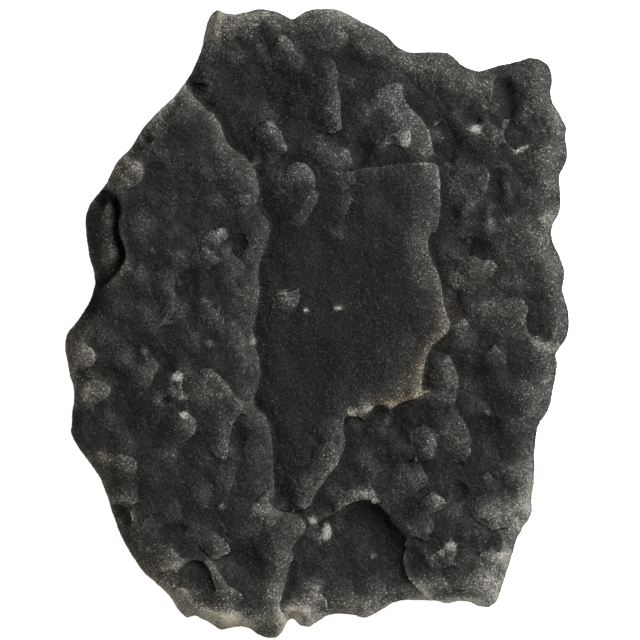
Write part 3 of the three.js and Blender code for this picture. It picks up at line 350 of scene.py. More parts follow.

# Stretches of the crust that are paler and, below nought, darker: x, y, radius across, radius along, turn,
# shift. A few are painted shadow, or painted light that thins a cast shadow, as marked
STRETCHES_AND_SHADOWS = (
    # the top and the lobes over the middle plate
    (48.0, 3.0, 5.0, 2.0, 0, 0.12),
    (64.0, 3.0, 8.0, 2.0, 0, 0.12),
    (56.5, 3.5, 2.0, 2.5, 0, -0.16),
    (60.0, 7.0, 4.0, 3.0, 0, 0.08),
    (43.0, 8.0, 2.5, 4.0, -15, 0.3),
    (78.0, 9.0, 4.0, 3.0, 0, -0.08),
    (68.0, 14.0, 4.0, 3.0, 0, -0.1),
    (54.5, 14.5, 4.0, 4.0, 0, 0.09),
    (83.5, 14.5, 4.5, 4.0, 0, 0.15),
    (45.5, 15.0, 3.5, 5.0, 0, -0.26),
    (37.5, 17.0, 1.5, 5.0, -25, -0.16),
    (72.0, 19.0, 2.5, 6.0, 0, -0.08),
    (76.5, 20.5, 2.5, 2.5, 0, 0.18),
    (63.5, 23.5, 2.0, 4.0, 0, 0.13),
    (80.5, 24.5, 9.0, 4.0, -52, 0.26),
    (58.5, 26.0, 3.0, 3.0, 0, -0.14),
    (52.0, 27.0, 2.5, 2.0, 0, 0.1),
    (79.5, 28.0, 2.5, 2.5, 0, 0.16),
    (84.0, 31.0, 1.5, 3.0, 0, 0.12),
    (66.5, 34.0, 2.5, 3.0, 0, 0.14),
    (58.0, 35.0, 3.2, 4.0, 0, 0.26),
    # the left slab
    (32.0, 22.5, 7.0, 2.0, 45, 0.2),
    (42.0, 23.0, 8.0, 1.2, -45, 0.15),
    (40.0, 25.0, 3.5, 4.0, 0, -0.26),
    (28.0, 33.0, 3.0, 2.5, 0, -0.08),
    (48.0, 34.0, 2.5, 3.5, 0, -0.15),
    (37.0, 35.0, 4.0, 3.0, 0, 0.06),
    (26.0, 42.0, 3.0, 4.0, 0, -0.13),
    # painted light that thins the cast shadow of the slab's left cliff on the shelf
    (22.4, 43.5, 1.0, 6.0, 0, 0.3),
    (50.5, 44.5, 3.0, 4.0, 0, -0.32),
    (20.0, 46.0, 2.5, 6.0, 0, -0.3),
    (42.5, 47.0, 3.5, 3.0, 0, 0.2),
    (48.0, 52.0, 4.0, 3.0, 0, -0.08),
    (50.0, 59.0, 1.8, 8.0, 0, -0.16),
    (33.5, 60.0, 2.0, 4.0, 0, -0.08),
    # painted shadow under the slab at the left rim
    (17.0, 60.0, 4.0, 4.0, 0, -0.5),
    (21.0, 71.0, 2.0, 2.0, 0, 0.12),
    (16.0, 73.0, 3.5, 6.0, 0, 0.14),
    (50.5, 74.0, 1.8, 5.0, 0, -0.15),
    (29.5, 76.0, 2.5, 3.0, 0, -0.12),
    (35.0, 76.0, 2.0, 1.8, 0, 0.12),
    (38.5, 79.0, 5.5, 4.0, 0, 0.22),
    (17.6, 79.6, 1.8, 2.4, 0, 0.22),
    (23.0, 84.0, 2.5, 3.0, 0, -0.1),
    (17.0, 85.0, 3.0, 4.0, 0, -0.2),
    (51.0, 85.0, 2.5, 3.5, 0, -0.15),
    (47.0, 88.0, 2.0, 3.0, 0, -0.12),
    (26.0, 88.5, 3.0, 3.0, 0, -0.14),
    (42.0, 91.0, 3.0, 3.5, 0, 0.14),
    (52.5, 92.0, 2.5, 6.0, 0, -0.24),
    (20.5, 95.0, 2.0, 6.0, 25, 0.1),
    (31.0, 95.0, 3.0, 3.0, 0, -0.06),
    (25.0, 98.5, 2.0, 5.0, -20, -0.12),
    (51.0, 101.5, 2.5, 2.0, 0, 0.2),
    (30.0, 102.0, 2.5, 2.5, 0, 0.08),
    (31.0, 106.0, 4.0, 3.0, 0, -0.08),
    (47.0, 111.0, 3.0, 4.0, 0, -0.06),
    (42.0, 112.0, 3.0, 2.5, 0, 0.14),
    (52.0, 113.0, 3.0, 3.0, 0, 0.08),
    (35.0, 119.0, 8.0, 3.0, -40, 0.31),
    (54.5, 123.0, 2.0, 3.5, 0, -0.3),
    (46.5, 123.5, 6.0, 2.0, -8, 0.5),
    # the right side
    (92.0, 13.0, 3.0, 2.0, 0, -0.08),
    (110.0, 16.0, 2.0, 3.0, 0, -0.08),
    (105.0, 18.5, 2.0, 4.0, 0, 0.16),
    (94.0, 19.0, 4.0, 5.0, 0, 0.13),
    (100.5, 21.0, 1.8, 6.0, 0, -0.2),
    (111.0, 24.0, 2.0, 3.0, 0, 0.12),
    (90.0, 30.0, 2.5, 4.0, 0, -0.07),
    (106.0, 32.0, 3.0, 6.0, 0, 0.2),
    (101.5, 36.0, 2.0, 3.0, 0, -0.08),
    (92.0, 38.5, 6.0, 3.0, -50, 0.24),
    (110.0, 40.0, 4.0, 2.0, 0, -0.12),
    (87.2, 43.0, 1.2, 4.0, 0, -0.1),
    (109.5, 44.5, 2.5, 2.0, 0, 0.2),
    (102.0, 46.0, 6.0, 2.0, -55, 0.1),
    (100.0, 49.0, 4.0, 4.0, 0, 0.06),
    (91.0, 50.0, 1.8, 2.0, 0, -0.16),
    (105.0, 53.0, 3.0, 5.0, 0, 0.1),
    (102.0, 54.0, 5.0, 8.0, 0, 0.08),
    (90.5, 54.0, 1.5, 5.0, -10, 0.12),
    (91.2, 58.0, 2.0, 5.0, 0, 0.3),
    (109.0, 61.0, 2.5, 4.0, 0, -0.1),
    (86.8, 61.5, 1.2, 3.5, 0, -0.14),
    (98.0, 63.0, 3.5, 4.0, 0, 0.25),
    (91.0, 67.0, 2.4, 3.0, 0, 0.22),
    (104.0, 68.0, 2.5, 4.0, 0, 0.05),
    (102.0, 73.0, 2.5, 3.0, 0, -0.06),
    (88.0, 78.5, 4.0, 3.0, 0, 0.2),
    (99.0, 82.0, 2.0, 2.0, 0, 0.14),
    (106.0, 82.5, 2.5, 2.5, 0, 0.12),
    (96.0, 84.5, 4.5, 5.0, 0, -0.22),
    (105.0, 87.0, 3.0, 4.0, 0, -0.18),
    (80.0, 87.0, 3.0, 3.5, 0, -0.06),
    (89.0, 87.5, 2.5, 3.0, 0, 0.28),
    (87.0, 93.5, 5.0, 2.0, 0, -0.1),
    (106.5, 94.0, 1.5, 4.0, 0, 0.12),
    (101.0, 94.0, 2.5, 3.0, 0, -0.08),
    (87.5, 98.0, 3.0, 2.0, 0, 0.1),
    (97.0, 102.5, 4.0, 2.5, -15, 0.34),
    (104.0, 103.0, 2.5, 4.0, 0, 0.2),
    (102.0, 112.0, 1.5, 3.0, 20, 0.06),
    (96.0, 113.0, 5.0, 7.0, 0, 0.14),
    (95.5, 117.5, 4.0, 3.5, 0, 0.25),
    (84.5, 118.0, 3.0, 3.0, 0, 0.34),
    (92.0, 120.5, 8.0, 1.2, 0, 0.2),
    # the middle plate, the arch and the hollow
    (83.5, 48.0, 2.2, 9.0, 0, 0.19),
    (69.0, 58.0, 16.0, 20.0, 0, -0.03),
    (65.0, 60.0, 8.0, 6.0, 0, -0.04),
    (80.0, 60.0, 3.0, 6.0, 0, -0.06),
    (55.0, 60.0, 2.2, 3.0, 0, 0.28),
    (80.0, 74.0, 3.0, 3.0, 0, 0.1),
    (60.0, 76.0, 7.0, 7.0, 0, -0.06),
    (79.0, 77.0, 5.0, 3.0, 0, 0.05),
    (77.0, 80.0, 7.0, 2.5, 15, 0.12),
    (71.0, 84.5, 3.0, 3.0, 0, 0.2),
    (75.0, 88.0, 3.0, 3.0, 0, -0.06),
    (67.8, 88.5, 1.6, 3.0, 0, -0.16),
    (67.0, 94.0, 2.5, 3.0, 0, 0.25),
    (72.5, 100.0, 3.5, 2.5, 0, 0.25),
    (79.0, 104.0, 3.0, 3.0, 0, -0.12),
    (57.0, 106.0, 3.0, 3.5, 0, -0.1),
    (63.8, 106.0, 5.0, 2.0, -60, 0.3),
    (81.5, 108.0, 1.5, 4.0, 0, -0.08),
    (71.0, 110.0, 6.0, 7.0, 0, -0.07),
    (79.0, 114.5, 2.0, 2.0, 0, 0.18),
    (63.5, 118.0, 3.0, 2.0, 0, 0.2),
    (58.5, 122.0, 4.0, 3.0, 0, 0.6),
    (71.0, 122.5, 6.0, 2.0, 5, 0.22),
)

# Brownish places, and bluish ones: x, y, radius across, radius along, turn, strength
WARM = (
    (42.0, 5.0, 2.5, 3.5, 0, 0.35),
    (23.5, 35.0, 3.0, 3.0, 0, 0.35),
    (97.0, 53.0, 6.0, 5.0, 0, 0.15),
    (88.6, 62.0, 3.2, 6.0, 12, 0.3),
    (86.0, 68.6, 3.0, 5.0, -40, 0.4),
    (83.0, 75.0, 3.4, 6.0, -6, 0.5),
    (15.0, 75.0, 2.0, 7.0, 0, 0.4),
    (79.0, 79.6, 7.0, 2.6, 12, 0.55),
    (71.0, 82.4, 3.0, 2.2, 0, 0.3),
    (40.0, 123.0, 8.0, 2.5, -15, 0.2),
    (61.0, 124.0, 5.0, 2.0, 0, 0.15),
)
COOL = (
    (78.4, 20.4, 7.0, 6.0, 0, 0.5),
    (67.0, 21.6, 4.0, 9.0, 0, 0.5),
    (62.0, 37.0, 11.0, 9.0, 0, 0.5),
    (94.0, 38.0, 9.0, 8.0, 0, 0.6),
    (43.0, 48.0, 6.0, 5.6, 0, 0.3),
    (85.6, 89.0, 5.0, 5.4, 0, 0.3),
)

# Colours of the crust by its tone, of the sides by their layers and of the back by its patches
TONES = (
    (0.0, (0.003, 0.003, 0.003)),
    (0.3, (0.0115, 0.0115, 0.0106)),
    (0.5, (0.034, 0.034, 0.0315)),
    (0.7, (0.088, 0.087, 0.079)),
    (0.85, (0.19, 0.185, 0.165)),
    (1.0, (0.52, 0.50, 0.44)),
)
SIDE_TONES = (
    (0.3, (0.036, 0.035, 0.032)),
    (0.45, (0.095, 0.091, 0.082)),
    (0.55, (0.17, 0.163, 0.145)),
    (0.7, (0.34, 0.33, 0.28)),
)
BACK_TONES = (
    (0.3, (0.05, 0.044, 0.037)),
    (0.5, (0.18, 0.16, 0.13)),
    (0.7, (0.42, 0.39, 0.33)),
)
WARM_TINT = (1.0, 0.79, 0.5, 1)
COOL_TINT = (0.80, 1.0, 1.08, 1)

# The finish, with sizes in millimetres
SPECKLE_SIZE, SPECKLE_TONE = 0.32, 0.36  # the grain's size, and the most that it makes paler or darker
LAYER_SIZE, LAYER_FLATNESS = 9.0, 4.0
BACK_PATCH, BACK_GRAIN = 9.0, 0.78  # size of the patches, and how grainy they are
GRIT_SIZE, GRIT_HEIGHT, GRIT_STRENGTH = 0.5, 0.2, 0.4  # the bumps of the stone's skin
STONE_ROUGHNESS, STONE_SPECULAR = (0.6, 0.8), 0.2
DRUSE_ROUGHNESS, DRUSE_SPECULAR = (0.26, 0.4), 0.26
QUARTZ_IOR = 1.54


def unit(vectors):
    """The same directions, one unit long."""
    return vectors / np.maximum(np.linalg.norm(vectors, axis=-1, keepdims=True), 1e-12)


def smooth_step(values, start, end):
    """0 before start, 1 after end, with a smooth rise between them."""
    share = np.clip((values - start) / (end - start), 0, 1)
    return share * share * (3 - 2 * share)


def frame_place(x, y):
    """Where a plan place lies in the frame."""
    return np.array([x - PLAN_MIDDLE[0], PLAN_MIDDLE[1] - y])


def plan_tree(places):
    """A tree in which the nearest of some plan places is found."""
    tree = kdtree.KDTree(len(places))
    for number, (x, y) in enumerate(places):
        tree.insert((x, y, 0), number)
    tree.balance()
    return tree


def welded_mesh(node):
    """A node's points, in millimetres and with doubles merged, and its triangles."""
    mesh = node.data
    points = np.empty(len(mesh.vertices) * 3)
    mesh.vertices.foreach_get("co", points)
    points = points.reshape(-1, 3) / MM
    mesh.calc_loop_triangles()
    corners = np.empty(len(mesh.loop_triangles) * 3, dtype=np.int64)
    mesh.loop_triangles.foreach_get("vertices", corners)
    rounded = np.round(points, WELD_DIGITS)
    _, first, place = np.unique(rounded, axis=0, return_index=True, return_inverse=True)
    triangles = place.reshape(-1)[corners].reshape(-1, 3)
    a, b, c = triangles.T
    return points[first], triangles[(a != b) & (b != c) & (c != a)]


def edges_of(triangles):
    """Each edge once, and for each triangle the numbers of its three edges."""
    pairs = np.concatenate([triangles[:, [0, 1]], triangles[:, [1, 2]], triangles[:, [2, 0]]])
    edges, number = np.unique(np.sort(pairs, axis=1), axis=0, return_inverse=True)
    return edges, number.reshape(3, -1).T


def split_faces(points, triangles):
    """Four triangles for each, with new points at the middles of the edges."""
    edges, number = edges_of(triangles)
    ab, bc, ca = (number + len(points)).T
    a, b, c = triangles.T
    parts = [np.stack(t, axis=1) for t in ((a, ab, ca), (ab, b, bc), (ca, bc, c), (ab, bc, ca))]
    return np.concatenate([points, points[edges].mean(axis=1)]), np.concatenate(parts)


def neighbour_mean(values, edges):
    """The mean of each point's neighbours."""
    ends = np.concatenate([edges[:, 0], edges[:, 1]])
    others = np.concatenate([edges[:, 1], edges[:, 0]])
    count = np.bincount(ends, minlength=len(values))
    columns = values.reshape(len(values), -1).T
    sums = [np.bincount(ends, weights=column[others], minlength=len(values)) / count for column in columns]
    return np.stack(sums, axis=1).reshape(values.shape)


def smoothed(points, edges, rounds, free):
    """The points with sharp folds rounded off and the volume kept. Only the free ones move."""
    points = points.copy()
    for _ in range(rounds):
        for pull in SMOOTHING_PULLS:
            step = neighbour_mean(points, edges) - points
            points[free] += pull * step[free]
    return points


def point_normals(points, triangles):
    """Outward normals, weighted by the area of the faces round each point."""
    a, b, c = points[triangles].transpose(1, 0, 2)
    face = np.cross(b - a, c - a)
    total = np.zeros_like(points)
    for corner in triangles.T:
        for k in range(3):
            total[:, k] += np.bincount(corner, weights=face[:, k], minlength=len(points))
    return unit(total)


def rim_distance(points):
    """How far inside the stone's outline each point lies in plan, from a map of covered cells."""
    corner = points[:, :2].min(axis=0)
    place = np.floor((points[:, :2] - corner) / RIM_CELL).astype(int) + RIM_MARGIN
    covered = np.zeros(place.max(axis=0) + 1 + RIM_MARGIN, bool)
    covered[place[:, 0], place[:, 1]] = True
    for _ in range(GAP_ROUNDS):
        covered[1:-1, 1:-1] |= covered[:-2, 1:-1] & covered[2:, 1:-1]
        covered[1:-1, 1:-1] |= covered[1:-1, :-2] & covered[1:-1, 2:]
    near = np.zeros_like(covered)
    near[1:-1, 1:-1] = covered[:-2, 1:-1] | covered[2:, 1:-1]
    near[1:-1, 1:-1] |= covered[1:-1, :-2] | covered[1:-1, 2:]
    border = np.argwhere(near & ~covered)
    tree = plan_tree((border + 0.5) * RIM_CELL + (corner - RIM_MARGIN * RIM_CELL))
    return np.array([tree.find((x, y, 0))[2] for x, y in points[:, :2]]) - RIM_CELL / 2


def standing(points, normals, edges, rounds, height):
    """How far each point stands out of the stretch round it: 1 at a height out of it, -1 as far in it."""
    stretch = points
    for _ in range(rounds):
        stretch = neighbour_mean(stretch, edges)
    out = ((points - stretch) * normals).sum(axis=1) / height
    return np.clip(out, -MOST_STANDING, MOST_STANDING)


def top_map(points, normals):
    """The crust's height in each cell of the plan, with empty cells filled from the nearest."""
    corner = points[:, :2].min(axis=0)
    cells = np.floor((points[:, :2] - corner) / GLOW_CELL).astype(int)
    upper = normals[:, 2] > 0
    top = np.full(cells.max(axis=0) + 1, -np.inf)
    np.maximum.at(top, tuple(cells[upper].T), points[upper, 2])
    covered = np.argwhere(np.isfinite(top))
    tree = plan_tree(covered)
    for x, y in np.argwhere(~np.isfinite(top)):
        top[x, y] = top[tuple(covered[tree.find((x, y, 0))[1]])]
    return top, corner


def painted_brow_light(points, normals):
    """Painted light: how pale each point is painted, 1 at a brow over a full drop on a lit side, less further
    in.
    """
    top, corner = top_map(points, normals)
    last = np.array(top.shape) - 1
    glow = np.zeros(len(points))
    for side in GLOW_SIDES:
        strongest = np.zeros(len(points))
        for step in GLOW_STEPS:
            ahead = points[:, :2] + step * np.array([math.cos(side), math.sin(side)])
            place = np.clip(np.floor((ahead - corner) / GLOW_CELL).astype(int), 0, last)
            drop = points[:, 2] - top[tuple(place.T)]
            strength = smooth_step(drop, *GLOW_DROP) * math.exp(-((step / GLOW_DEPTH) ** GLOW_POWER))
            strongest = np.maximum(strongest, strength)
        glow += strongest / len(GLOW_SIDES)
    return glow


def lumps(points, size, layer):
    """Rounded caps of about one size, from 0 in the creases between them, higher at their front."""
    places = points / size + layer * LUMP_SHIFT
    middles = np.array([noise.voronoi(Vector(place))[1][0] for place in places])
    away = (places - middles) / LUMP_REACH
    cap = np.sqrt(np.clip(1 - (away**2).sum(axis=1), 0, 1))
    return cap * (1 + LUMP_SLANT * (away[:, :2] @ (math.cos(LUMP_FACING), math.sin(LUMP_FACING))))


def reach_over(plan, place):
    """How far out each plan place is over an oval: 0 at its middle, 1 at its edge, squared."""
    x, y, across, along, turn, _ = place
    angle = math.radians(turn)
    away = plan - frame_place(x, y)
    u = (away @ (math.cos(angle), math.sin(angle))) / across
    v = (away @ (-math.sin(angle), math.cos(angle))) / along
    return u * u + v * v


def knob_heights(plan):
    """Height of the tallest knob and depth of the deepest pit over each plan place."""
    tallest = np.zeros(len(plan))
    deepest = np.zeros(len(plan))
    for knob in KNOBS:
        cap = KNOB_SHARE * knob[-1] * np.sqrt(np.clip(1 - reach_over(plan, knob), 0, 1))
        tallest = np.maximum(tallest, cap)
        deepest = np.minimum(deepest, cap)
    return tallest + deepest


def marks(plan, places):
    """How strongly each plan place is marked, softly towards the edges of the marks."""
    strength = np.zeros(len(plan))
    for place in places:
        fade = np.exp(-MARK_FADE * reach_over(plan, place) ** MARK_POWER)
        strength = np.maximum(strength, place[-1] * fade)
    return strength


def shifts(plan, places):
    """How much paler or darker each plan place is for all the stretches that it lies in."""
    return sum(place[-1] * np.exp(-reach_over(plan, place)) for place in places)


def turned_to(plan, turn):
    """How far each plan place lies to one side of the middle: 1 straight there, 0 at a right angle."""
    return smooth_step(unit(plan) @ (math.cos(turn), math.sin(turn)), 0, 1)


def inside_loop(plan, loop):
    """Which plan places lie inside a loop of plan places."""
    inside = np.zeros(len(plan), bool)
    corners = [frame_place(x, y) for x, y in loop]
    for (ax, ay), (bx, by) in zip(corners, corners[1:] + corners[:1]):
        crosses = (ay > plan[:, 1]) != (by > plan[:, 1])
        with np.errstate(divide="ignore", invalid="ignore"):
            left = plan[:, 0] < ax + (bx - ax) * (plan[:, 1] - ay) / (by - ay)
        inside ^= crosses & left
    return inside


def make_piece(name, points, triangles, measures, material):
    """A mesh object in the frame from points in millimetres, with its measures as point attributes."""
    mesh = bpy.data.meshes.new(name)
    mesh.vertices.add(len(points))
    mesh.vertices.foreach_set("co", (points * MM).ravel())
    mesh.loops.add(triangles.size)
    mesh.loops.foreach_set("vertex_index", triangles.ravel())
    mesh.polygons.add(len(triangles))
    mesh.polygons.foreach_set("loop_start", np.arange(0, triangles.size, 3))
    mesh.update(calc_edges=True)
    mesh.shade_flat()
    for label, values in measures.items():
        mesh.attributes.new(label, "FLOAT", "POINT").data.foreach_set("value", values)
    mesh.materials.append(material)
    piece = bpy.data.objects.new(name, mesh)
    bpy.context.scene.collection.objects.link(piece)
    return piece


def fitted(places, left, right):
    """Places stretched to fill a part of the unit square, from left to right and bottom to top."""
    share = (places - places.min(axis=0)) / np.ptp(places, axis=0)
    edge = MAP_MARGIN * (right - left)
    across = left + edge + share[:, 0] * (right - left - 2 * edge)
    up = MAP_MARGIN + share[:, 1] * (1 - 2 * MAP_MARGIN)
    return np.stack([across, up], axis=1)


def stone_map(points, triangles, above_back):
    """Map places of the stone's corners: crust and sides, spread from above, on the left, and the back."""
    corners = triangles.ravel()
    drop = points[:, 2].max() - points[:, 2]
    spread = points[:, :2] * (1 + drop / MAP_SPREAD)[:, None]
    back = np.repeat(~above_back[triangles].any(axis=1), 3)
    places = np.empty((len(corners), 2))
    places[~back] = fitted(spread[corners[~back]], 0, 0.5)
    places[back] = fitted(points[corners[back], :2], 0.5, 1)
    return places


def unwrap(piece, places):
    """Give a piece its texture map, one place for each corner of each face."""
    layer = piece.data.uv_layers.new(name="OFBake")
    layer.data.foreach_set("uv", places.ravel())


class Surface:
    """A stone's material, with short ways to add nodes to it. Sizes are in millimetres."""

    def __init__(self, name):
        self.material = bpy.data.materials.new(name)
        self.material.use_nodes = True
        self.tree = self.material.node_tree
        self.shader = self.tree.nodes["Principled BSDF"]
        self.shader.inputs["IOR"].default_value = QUARTZ_IOR
        self.place = self.node("TexCoord", {}).outputs["Object"]

    def node(self, kind, inputs, **settings):
        node = self.tree.nodes.new("ShaderNode" + kind)
        for name, value in settings.items():
            setattr(node, name, value)
        for name, value in inputs.items():
            if isinstance(value, bpy.types.NodeSocket):
                self.tree.links.new(value, node.inputs[name])
            else:
                node.inputs[name].default_value = value
        return node

    def attribute(self, label):
        return self.node("Attribute", {}, attribute_name=label).outputs["Fac"]

    def noise(self, size, detail, roughness=0.5, place=None):
        """Patches of about one size."""
        inputs = {
            "Vector": self.place if place is None else place,
            "Scale": 1 / (size * MM),
            "Detail": detail,
            "Roughness": roughness,
        }
        return self.node("TexNoise", inputs).outputs["Fac"]

    def layers(self, size, flatness):
        """Uneven layers, one above the other."""
        flat = self.node("Mapping", {"Vector": self.place, "Scale": (1, 1, flatness)}).outputs["Vector"]
        return self.noise(size, detail=5, place=flat)

    def spread(self, value, least, most):
        return self.node("MapRange", {"Value": value, "To Min": least, "To Max": most}).outputs["Result"]

    def added(self, value, other):
        return self.node("Math", {0: value, 1: other}, operation="ADD").outputs[0]

    def ramp(self, value, colours):
        node = self.node("ValToRGB", {"Fac": value})
        while len(node.color_ramp.elements) < len(colours):
            node.color_ramp.elements.new(0.5)
        for element, (place, colour) in zip(node.color_ramp.elements, colours):
            element.position = place
            element.color = (*colour, 1)
        return node.outputs["Color"]

    def mixed(self, share, colour, other, blend="MIX"):
        inputs = {0: share, 6: colour, 7: other}
        return self.node("Mix", inputs, data_type="RGBA", blend_type=blend).outputs[2]

    def crust_colour(self):
        """Dark, paler where its tone is higher, and tinted where it is warm or cool."""
        speckle = self.spread(self.noise(SPECKLE_SIZE, detail=3), -SPECKLE_TONE, SPECKLE_TONE)
        colour = self.ramp(self.added(self.attribute("tone"), speckle), TONES)
        colour = self.mixed(self.attribute("warm"), colour, WARM_TINT, "MULTIPLY")
        return self.mixed(self.attribute("cool"), colour, COOL_TINT, "MULTIPLY")

    def finish(self, colour, roughness, specular):
        """Set the shader: its colour, its roughness between two values, and how much it mirrors."""
        uneven = self.spread(self.noise(SPECKLE_SIZE, detail=2), *roughness)
        self.tree.links.new(colour, self.shader.inputs["Base Color"])
        self.tree.links.new(uneven, self.shader.inputs["Roughness"])
        self.shader.inputs["Specular IOR Level"].default_value = specular
        return self.material


def chalcedony_material():
    """The stone under the crystals: its crust, its layered sides and its rough back."""
    surface = Surface("chalcedony")
    layers = surface.ramp(surface.layers(LAYER_SIZE, LAYER_FLATNESS), SIDE_TONES)
    patches = surface.ramp(surface.noise(BACK_PATCH, detail=8, roughness=BACK_GRAIN), BACK_TONES)
    colour = surface.mixed(surface.attribute("side"), surface.crust_colour(), layers)
    colour = surface.mixed(surface.attribute("back"), colour, patches)
    grit = surface.noise(GRIT_SIZE, detail=4)
    bumps = {"Height": grit, "Strength": GRIT_STRENGTH, "Distance": GRIT_HEIGHT * MM}
    normal = surface.node("Bump", bumps).outputs["Normal"]
    surface.tree.links.new(normal, surface.shader.inputs["Normal"])
    return surface.finish(colour, STONE_ROUGHNESS, STONE_SPECULAR)


def druse_material():
    """The small clear crystals, as dark as the stone that shows through them."""
    surface = Surface("druse")
    return surface.finish(surface.crust_colour(), DRUSE_ROUGHNESS, DRUSE_SPECULAR)


def crust_heights(points, edges, crust):
    """How far the crust stands out of the solid's skin, by the share of crust at each point: its knobs, pits
    and lumps, lower on the smooth plate."""
    plan = points[:, :2]
    lumpy = np.where(inside_loop(plan, SMOOTH_PLATE), SMOOTH_SHARE, 1.0)
    for _ in range(SMOOTH_ROUNDS):
        lumpy = neighbour_mean(lumpy, edges)
    heights = crust * (knob_heights(plan) - CRUST_SINK)
    for layer, (size, height) in enumerate(LUMP_LAYERS):
        heights += crust * lumpy * height * (lumps(points, size, layer) - LUMP_LEVEL)
    return heights


def worn(heights, share, points, layers):
    """The heights, less by a share of the layers' wear, which is deepest in the creases between lumps."""
    for layer, (size, depth) in enumerate(layers):
        heights = heights - share * depth * np.clip(1 - lumps(points, size, layer), 0, 1)
    return heights


def tone_with_painted_light(points, normals, edges, rim):
    """How pale each point is, with painted light and shade: paler where it stands out and darker in its
    creases, paler at lit brows, at its rim and in its pale places, with painted shade on the rim that faces
    the light.
    """
    plan = points[:, :2]
    fine = standing(points, normals, edges, FINE_ROUNDS, FINE_HEIGHT)
    broad = standing(points, normals, edges, BROAD_ROUNDS, BROAD_HEIGHT)
    painted_rim_light_and_shade = FAR_RIM_PAINTED_LIGHT + turned_to(plan, RIM_TURN) * (LIT_RIM_PAINTED_SHADE - FAR_RIM_PAINTED_LIGHT)
    tone = GROUND_TONE + FINE_LIGHT_AND_SHADE * fine + BROAD_LIGHT_AND_SHADE * broad
    tone += PAINTED_BROW_LIGHT * painted_brow_light(points, normals) + EDGE_PAINTED_LIGHT * np.exp(-rim / EDGE_DEPTH)
    tone += np.exp(-rim / RIM_DEPTH) * painted_rim_light_and_shade
    tone += shifts(plan, STRETCHES_AND_SHADOWS)
    return tone + marks(plan, PALE_AND_LIT_PLACES) * (PALE_TONE - tone)


def stone_warmth(plan, rim):
    """How brown each plan place is: in its brownish places, and at the rim on its brown side."""
    rim_warmth = RIM_WARMTH * turned_to(plan, WARM_TURN) * np.exp(-rim / WARM_DEPTH)
    return np.maximum(marks(plan, WARM), rim_warmth)


def crystal_seats(points, triangles, rim):
    """The triangle under each crystal, the shares of its corners in the crystal's place, and the way out."""
    a, b, c = points[triangles].transpose(1, 0, 2)
    outward = unit(point_normals(points, triangles)[triangles].mean(axis=1))
    inside = (rim[triangles].min(axis=1) > DRUSE_RIM) & (points[triangles, 2].min(axis=1) > DRUSE_BOTTOM)
    druse = (outward[:, 2] > STEEPEST_DRUSE) | inside
    area = druse * np.linalg.norm(np.cross(b - a, c - a), axis=1)
    chosen = rng.choice(len(triangles), CRYSTALS, p=area / area.sum())
    share = np.sqrt(rng.random((CRYSTALS, 1)))
    other = rng.random((CRYSTALS, 1))
    shares = np.concatenate([1 - share, share * (1 - other), share * other], axis=1)
    return triangles[chosen], shares, outward[chosen]


def crystal_corners(places, outward):
    """The corners of each crystal: those of its foot, and its tip."""
    axis = unit(outward + CRYSTAL_LEAN * rng.normal(size=(CRYSTALS, 3)))
    across = unit(np.cross(axis, rng.normal(size=(CRYSTALS, 3))))
    along = np.cross(axis, across)
    radius = CRYSTAL_RADIUS * np.exp(CRYSTAL_SPREAD * rng.normal(size=(CRYSTALS, 1)))
    height = radius * rng.uniform(*CRYSTAL_SLIMNESS, size=(CRYSTALS, 1))
    foot = [
        places - CRYSTAL_ROOT * axis + radius * (math.cos(turn) * across + math.sin(turn) * along)
        for turn in FOOT_TURNS
    ]
    return np.stack(foot + [places + height * axis], axis=1)


def floor():
    """A plain pale floor just under the stone."""
    mesh = bpy.data.meshes.new("floor")
    signs = ((-1, -1), (1, -1), (1, 1), (-1, 1))
    mesh.from_pydata([(x * FLOOR_HALF, y * FLOOR_HALF, 0) for x, y in signs], [], [(0, 1, 2, 3)])
    material = bpy.data.materials.new("floor")
    material.use_nodes = True
    shader = material.node_tree.nodes["Principled BSDF"]
    shader.inputs["Base Color"].default_value = FLOOR_COLOUR
    shader.inputs["Roughness"].default_value = FLOOR_ROUGHNESS
    shader.inputs["Emission Color"].default_value = WHITE
    shader.inputs["Emission Strength"].default_value = FLOOR_SHINE
    mesh.materials.append(material)
    piece = bpy.data.objects.new("floor", mesh)
    piece.location.z = -FLOOR_DROP
    piece.visible_diffuse = False
    piece.visible_glossy = False
    bpy.context.scene.collection.objects.link(piece)
    piece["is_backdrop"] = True


def area_light(name, turn, rise, size, power):
    """A soft square light on the stone from one side, turned from +X and risen from the floor."""
    light = bpy.data.lights.new(name, "AREA")
    light.size = size
    light.energy = power
    piece = bpy.data.objects.new(name, light)
    back = Vector((math.cos(turn) * math.cos(rise), math.sin(turn) * math.cos(rise), math.sin(rise)))
    piece.location = back * LIGHT_DISTANCE
    piece.rotation_euler = back.to_track_quat("Z", "Y").to_euler()
    piece.visible_camera = False
    bpy.context.scene.collection.objects.link(piece)


def sky():
    """Even white light from all round, and colours shown as they are."""
    world = bpy.data.worlds.new("studio")
    world.use_nodes = True
    background = world.node_tree.nodes["Background"]
    background.inputs["Color"].default_value = WHITE
    background.inputs["Strength"].default_value = SKY_STRENGTH
    bpy.context.scene.world = world
    bpy.context.scene.view_settings.view_transform = "Standard"


def camera():
    """A camera straight above the middle of the view."""
    piece = bpy.data.objects.new("camera", bpy.data.cameras.new("camera"))
    piece.data.sensor_width = SENSOR
    piece.data.lens = SENSOR * CAMERA_HEIGHT / VIEW_WIDTH
    piece.data.clip_end = FARTHEST
    view_x, view_y = frame_place(VIEW_WIDTH / 2, VIEW_WIDTH / 2)
    piece.location = Vector((view_x, view_y, RIM_HEIGHT + CAMERA_HEIGHT)) * MM
    bpy.context.scene.collection.objects.link(piece)
    bpy.context.scene.camera = piece


